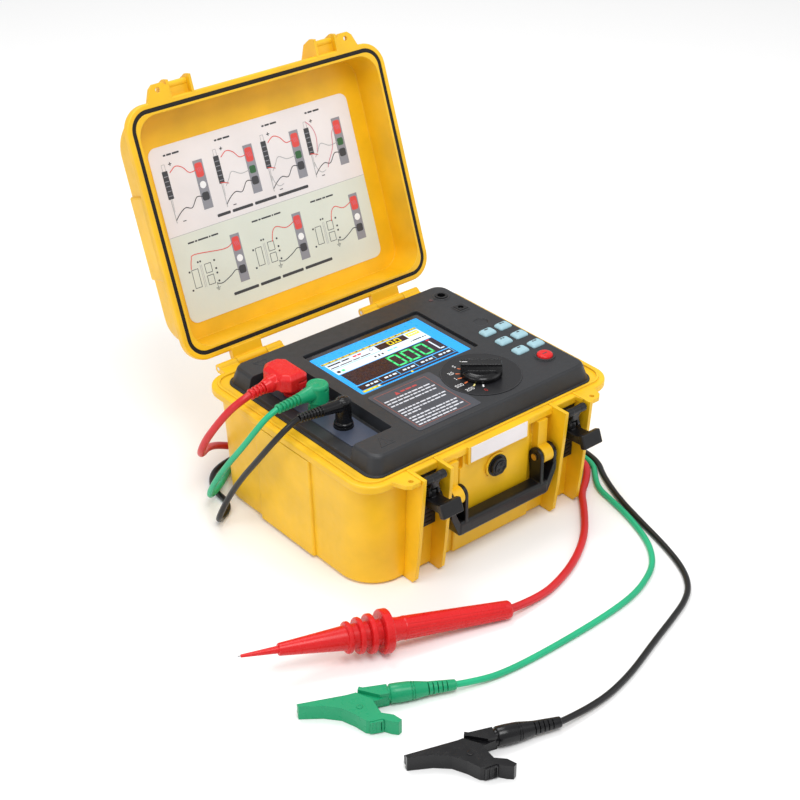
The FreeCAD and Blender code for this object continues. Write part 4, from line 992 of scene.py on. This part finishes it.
def make_label_print():
    top = top_of("info_label")[2]
    inks = {"white": ink("label_white", (0.62, 0.63, 0.68)),
            "orange": ink("label_orange", (0.40, 0.09, 0.05)),
            "heading": ink("label_heading", (0.45, 0.05, 0.05)), "film": LABEL}
    sheet = Print(inks, Matrix.Translation((0, 0, top)))
    frame_line = [(-73.4, -32), (-6.4, -32), (-6.4, -102.4), (-73.4, -102.4)]
    sheet.line("orange", frame_line, 0.45, 1, closed=True)
    sheet.shape("heading", ((-52.4, -42), (-46.4, -42), (-49.4, -36)), 1)
    sheet.words("heading", -44.5, -40.6, 2.6, (5.6, 7.2, 6), 1.2, 1)
    rows = ((-47.2, -9), (-52.2, -9), (-57.6, -9), (-68.4, -9), (-73.4, -9), (-78.2, -50), (-85.4, -9),
            (-90.2, -9),
            (-95.2, -9), (-100, -18))
    for number, (y, right) in enumerate(rows):
        at = -71.2
        step = 0
        while at < right - 3:
            length = (6.2, 3.4, 8.1, 4.6, 2.6, 7.0, 5.2)[(number * 3 + step * 2) % 7]
            sheet.bar("white", (at, min(at + length, right)), (y, y + 2.0), 1, 0.5)
            at += length + 1.0
            step += 1
    sheet.finish("label_print", "case")


make_label_print()


def make_card_print():
    """The wiring sheet in the lid: drawn shut as (across, up) and swung open with the lid."""
    hinge = Vector((0, 148.4, 126.2))
    swing = Matrix.Translation(hinge) @ Matrix.Rotation(math.radians(-109.8), 4,
                                                        "X") @ Matrix.Translation(-hinge)
    place = swing @ Matrix.Translation((0, 0, 168.5)) @ Matrix.Rotation(math.pi, 4, "X")
    colours = {"pale": (0.80, 0.755, 0.75), "sage": (0.70, 0.73, 0.64), "grey": (0.27, 0.27, 0.30),
               "black": (0.045, 0.045, 0.05), "red": (0.72, 0.07, 0.06), "green": (0.03, 0.12, 0.04),
               "bright": (0.88, 0.88, 0.88), "line": (0.42, 0.42, 0.42), "pink": (0.62, 0.16, 0.22)}
    inks = {key: ink("card_" + key, colour) for key, colour in colours.items()}
    sheet = Print(inks, place)
    top, bottom, middle, side = 87.2, -103.8, -8.4, 132
    upper = rounded_rectangle((-side, side), (bottom, top), 10, 8)
    sheet.shape("pale", [(x, max(y, middle)) for x, y in upper], 0)
    lower = [(x, min(y, middle)) for x, y in upper]
    sheet.shape("sage", lower, 1)
    sheet.line("line", [(-side + 0.3, middle), (side - 0.3, middle)], 0.5, 2)

    def block(x, low, high, second):
        sheet.bar("grey", (x - 6, x + 6), (low, high), 3)
        sheet.bar("red", (x - 4.8, x + 4.6), (high - 18.5, high - 3), 4, 2.6)
        for step in range(3):
            sheet.line("pink", [(x - 2.6 + 2 * step, high - 8), (x - 1 + 2 * step, high - 13)], 0.6, 5)
        if second == "white":
            sheet.disc("bright", (x, high - 27), 3.9, 4)
            sheet.line("black", [(x - 5, high - 27), (x - 4, high - 27)], 0.8, 4)
        else:
            sheet.bar("green", (x - 4, x + 4), (high - 31.4, high - 23), 4, 2)
        sheet.bar("black", (x - 4.4, x + 4.4), (high - 44, high - 35), 4, 2.4)

    def probe(x, high):
        sheet.bar("black", (x - 3.4, x + 3.4), (high - 30, high), 4, 0.5)
        for step in range(5):
            sheet.bar("grey", (x - 2.6, x + 2.6), (high - 27 + 5.2 * step, high - 26.2 + 5.2 * step), 5)
        sheet.line("line", [(x - 2, high), (x - 2, high + 7), (x + 1.8, high + 7), (x + 1.8, high)], 0.5, 4)
        sheet.line("line", [(x - 1, high - 30), (x - 0.6, high - 56)], 0.8, 4)
        sheet.line("line", [(x + 0.8, high - 30), (x + 0.2, high - 44)], 0.5, 4)

    def plus(x, y):
        sheet.bar("black", (x - 2, x + 2), (y - 0.45, y + 0.45), 4)
        sheet.bar("black", (x - 0.45, x + 0.45), (y - 2, y + 2), 4)

    for number, x in enumerate((-76, -11, 51.5, 110.5)):
        high = 62.8
        block(x, 9.6, high, "white" if number == 0 else "green")
        left = x - 41.5
        probe(left, 61)
        plus(left + 8.6, 67)
        sheet.bar("black", (left + 7, left + 11), (4.6, 5.5), 4)
        sheet.words("black", left + 3, 76, 1.9, (3, 6, 8.5), 1.1, 4)
        if number < 3:
            sheet.wave("red", [(left + 6, 58), (left + 14, 63), (left + 22, 60), (left + 29, 52.5),
                               (x - 4, 53)], 0.9, 5)
        else:
            sheet.wave("pink", [(left + 1, 68), (left + 8, 60), (left + 11, 48), (left + 8, 32)], 0.8, 5)
            sheet.wave("pink", [(x - 4, 54), (x - 9, 47), (x - 12, 32), (x - 21, 18), (x - 24, 12)], 0.8, 5)
        sheet.wave("black", [(left - 0.6, 8), (left + 6, 14), (left + 14, 18), (left + 22, 16),
                             (left + 30, 25), (x - 4, 24)],
                   0.9, 5)
        if number:
            sheet.wave("line", [(left + 4, 27), (left + 9, 33), (left + 15, 40), (left + 26, 35),
                                (x - 4, 36)], 0.8, 5)
            sheet.wave("red", [(left - 2, 32), (left + 3, 31), (left + 8, 29)], 0.9, 5)
        if number > 1:
            sheet.wave("line", [(left + 1, 22), (left + 3, 14), (left + 8, 9), (left + 14, 10)], 0.7, 5)
    sheet.words("black", -68, -2.6, 3.2, (17, 27, 29, 41), 2.8, 4)

    for number, x in enumerate((-54, 29.5, 110)):
        high = -25
        block(x, -78, high, "white")
        left = x - 62 if number < 2 else x - 60
        for low_y, high_y, first, last in ((-68, -48, left, left + 8), (-56, -46, left + 17, left + 25),
                                           (-69, -59, left + 17, left + 25)):
            sheet.line("black", [(first, low_y), (last, low_y), (last, high_y), (first, high_y)], 0.6, 4,
                       closed=True)
        for step in range(2):
            sheet.line("line", [(left + 11.6 + 1.8 * step, -70), (left + 11.6 + 1.8 * step, -45)], 0.5, 4)
        for mark_x, mark_y in ((left - 4, -50), (left - 5, -70), (left + 29, -46), (left + 29, -55),
                               (left + 29, -60),
                               (left + 29, -69)):
            sheet.bar("black", (mark_x, mark_x + 2.2), (mark_y, mark_y + 2), 4, 0.5)
        ground = (left + 27, -75)
        for step in range(3):
            half = 2.8 - 0.9 * step
            sheet.bar("black", (ground[0] - half, ground[0] + half),
                      (ground[1] - 1.3 * step, ground[1] - 1.3 * step + 0.5), 4)
        sheet.line("black", [(ground[0], -69), (ground[0], -75)], 0.5, 4)
        start = left if number == 0 else left + 24
        sheet.wave("red", [(start, -47), (start + 3, -37), (start + 9, -32.5), (x - 16, -37), (x - 4, -33)],
                   0.9, 5)
        sheet.wave("black", [(left + 27, -70), (left + 34, -71.5), (x - 16, -67), (x - 9, -63), (x - 4, -64)],
                   0.9, 5)
        sheet.words("black", left + (4 if number < 2 else 2), -20, 1.7,
                    ((8, 3, 13, 2, 9) if number < 2 else (7, 8, 4, 10)),
                    1.0, 4)
        sheet.words("black", left + 9, -42.4, 2, (2, 2), 1.0, 4)
    sheet.words("black", -72, -89.4, 3.2, (33, 27, 29, 38), 2.8, 4)
    sheet.finish("card_print", "lid")


make_card_print()


def make_emboss():
    """Raised triangles on the panel's corner blocks, each with a dot in it."""
    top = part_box("control_panel")[1].z / MM - 1.4
    bm = bmesh.new()
    for x, y, turn in ((-116, -101.5, 0), (-116, 98, 180)):
        corners = [(x + 9.6 * math.cos(math.radians(a + turn)),
                    y + 9.6 * math.sin(math.radians(a + turn))) for a in (90, 210, 330)]
        for (ax, ay), (bx, by) in zip(corners, corners[1:] + corners[:1]):
            run = Vector((bx - ax, by - ay, 0))
            place = aim((ax, ay, top - 0.15), (bx, by, top - 0.15))
            add_turned(bm, ((-0.4, 0.55), (run.length + 0.4, 0.55)), place, 10)
        place = Matrix.Translation((x, y - 1, 0))
        add_turned(bm, ((top - 0.3, 0.9), (top + 0.25, 0.9)), place, 14)
    make_piece("panel_emboss", bm, "case", [PANEL], sharp=40)


make_emboss()


# ---- floor ----

def make_floor():
    mesh = bpy.data.meshes.new("floor")
    far = 6
    mesh.from_pydata([(-far, -far, 0), (far, -far, 0), (far, far, 0), (-far, far, 0)], [], [(0, 1, 2, 3)])
    material = bpy.data.materials.new("floor_paper")
    material.use_nodes = True
    shader = material.node_tree.nodes["Principled BSDF"]
    shader.inputs["Base Color"].default_value = (0.93, 0.93, 0.93, 1)
    shader.inputs["Roughness"].default_value = 0.9
    shader.inputs["Specular IOR Level"].default_value = 0.1
    mesh.materials.append(material)
    add_object("floor", mesh)


make_floor()
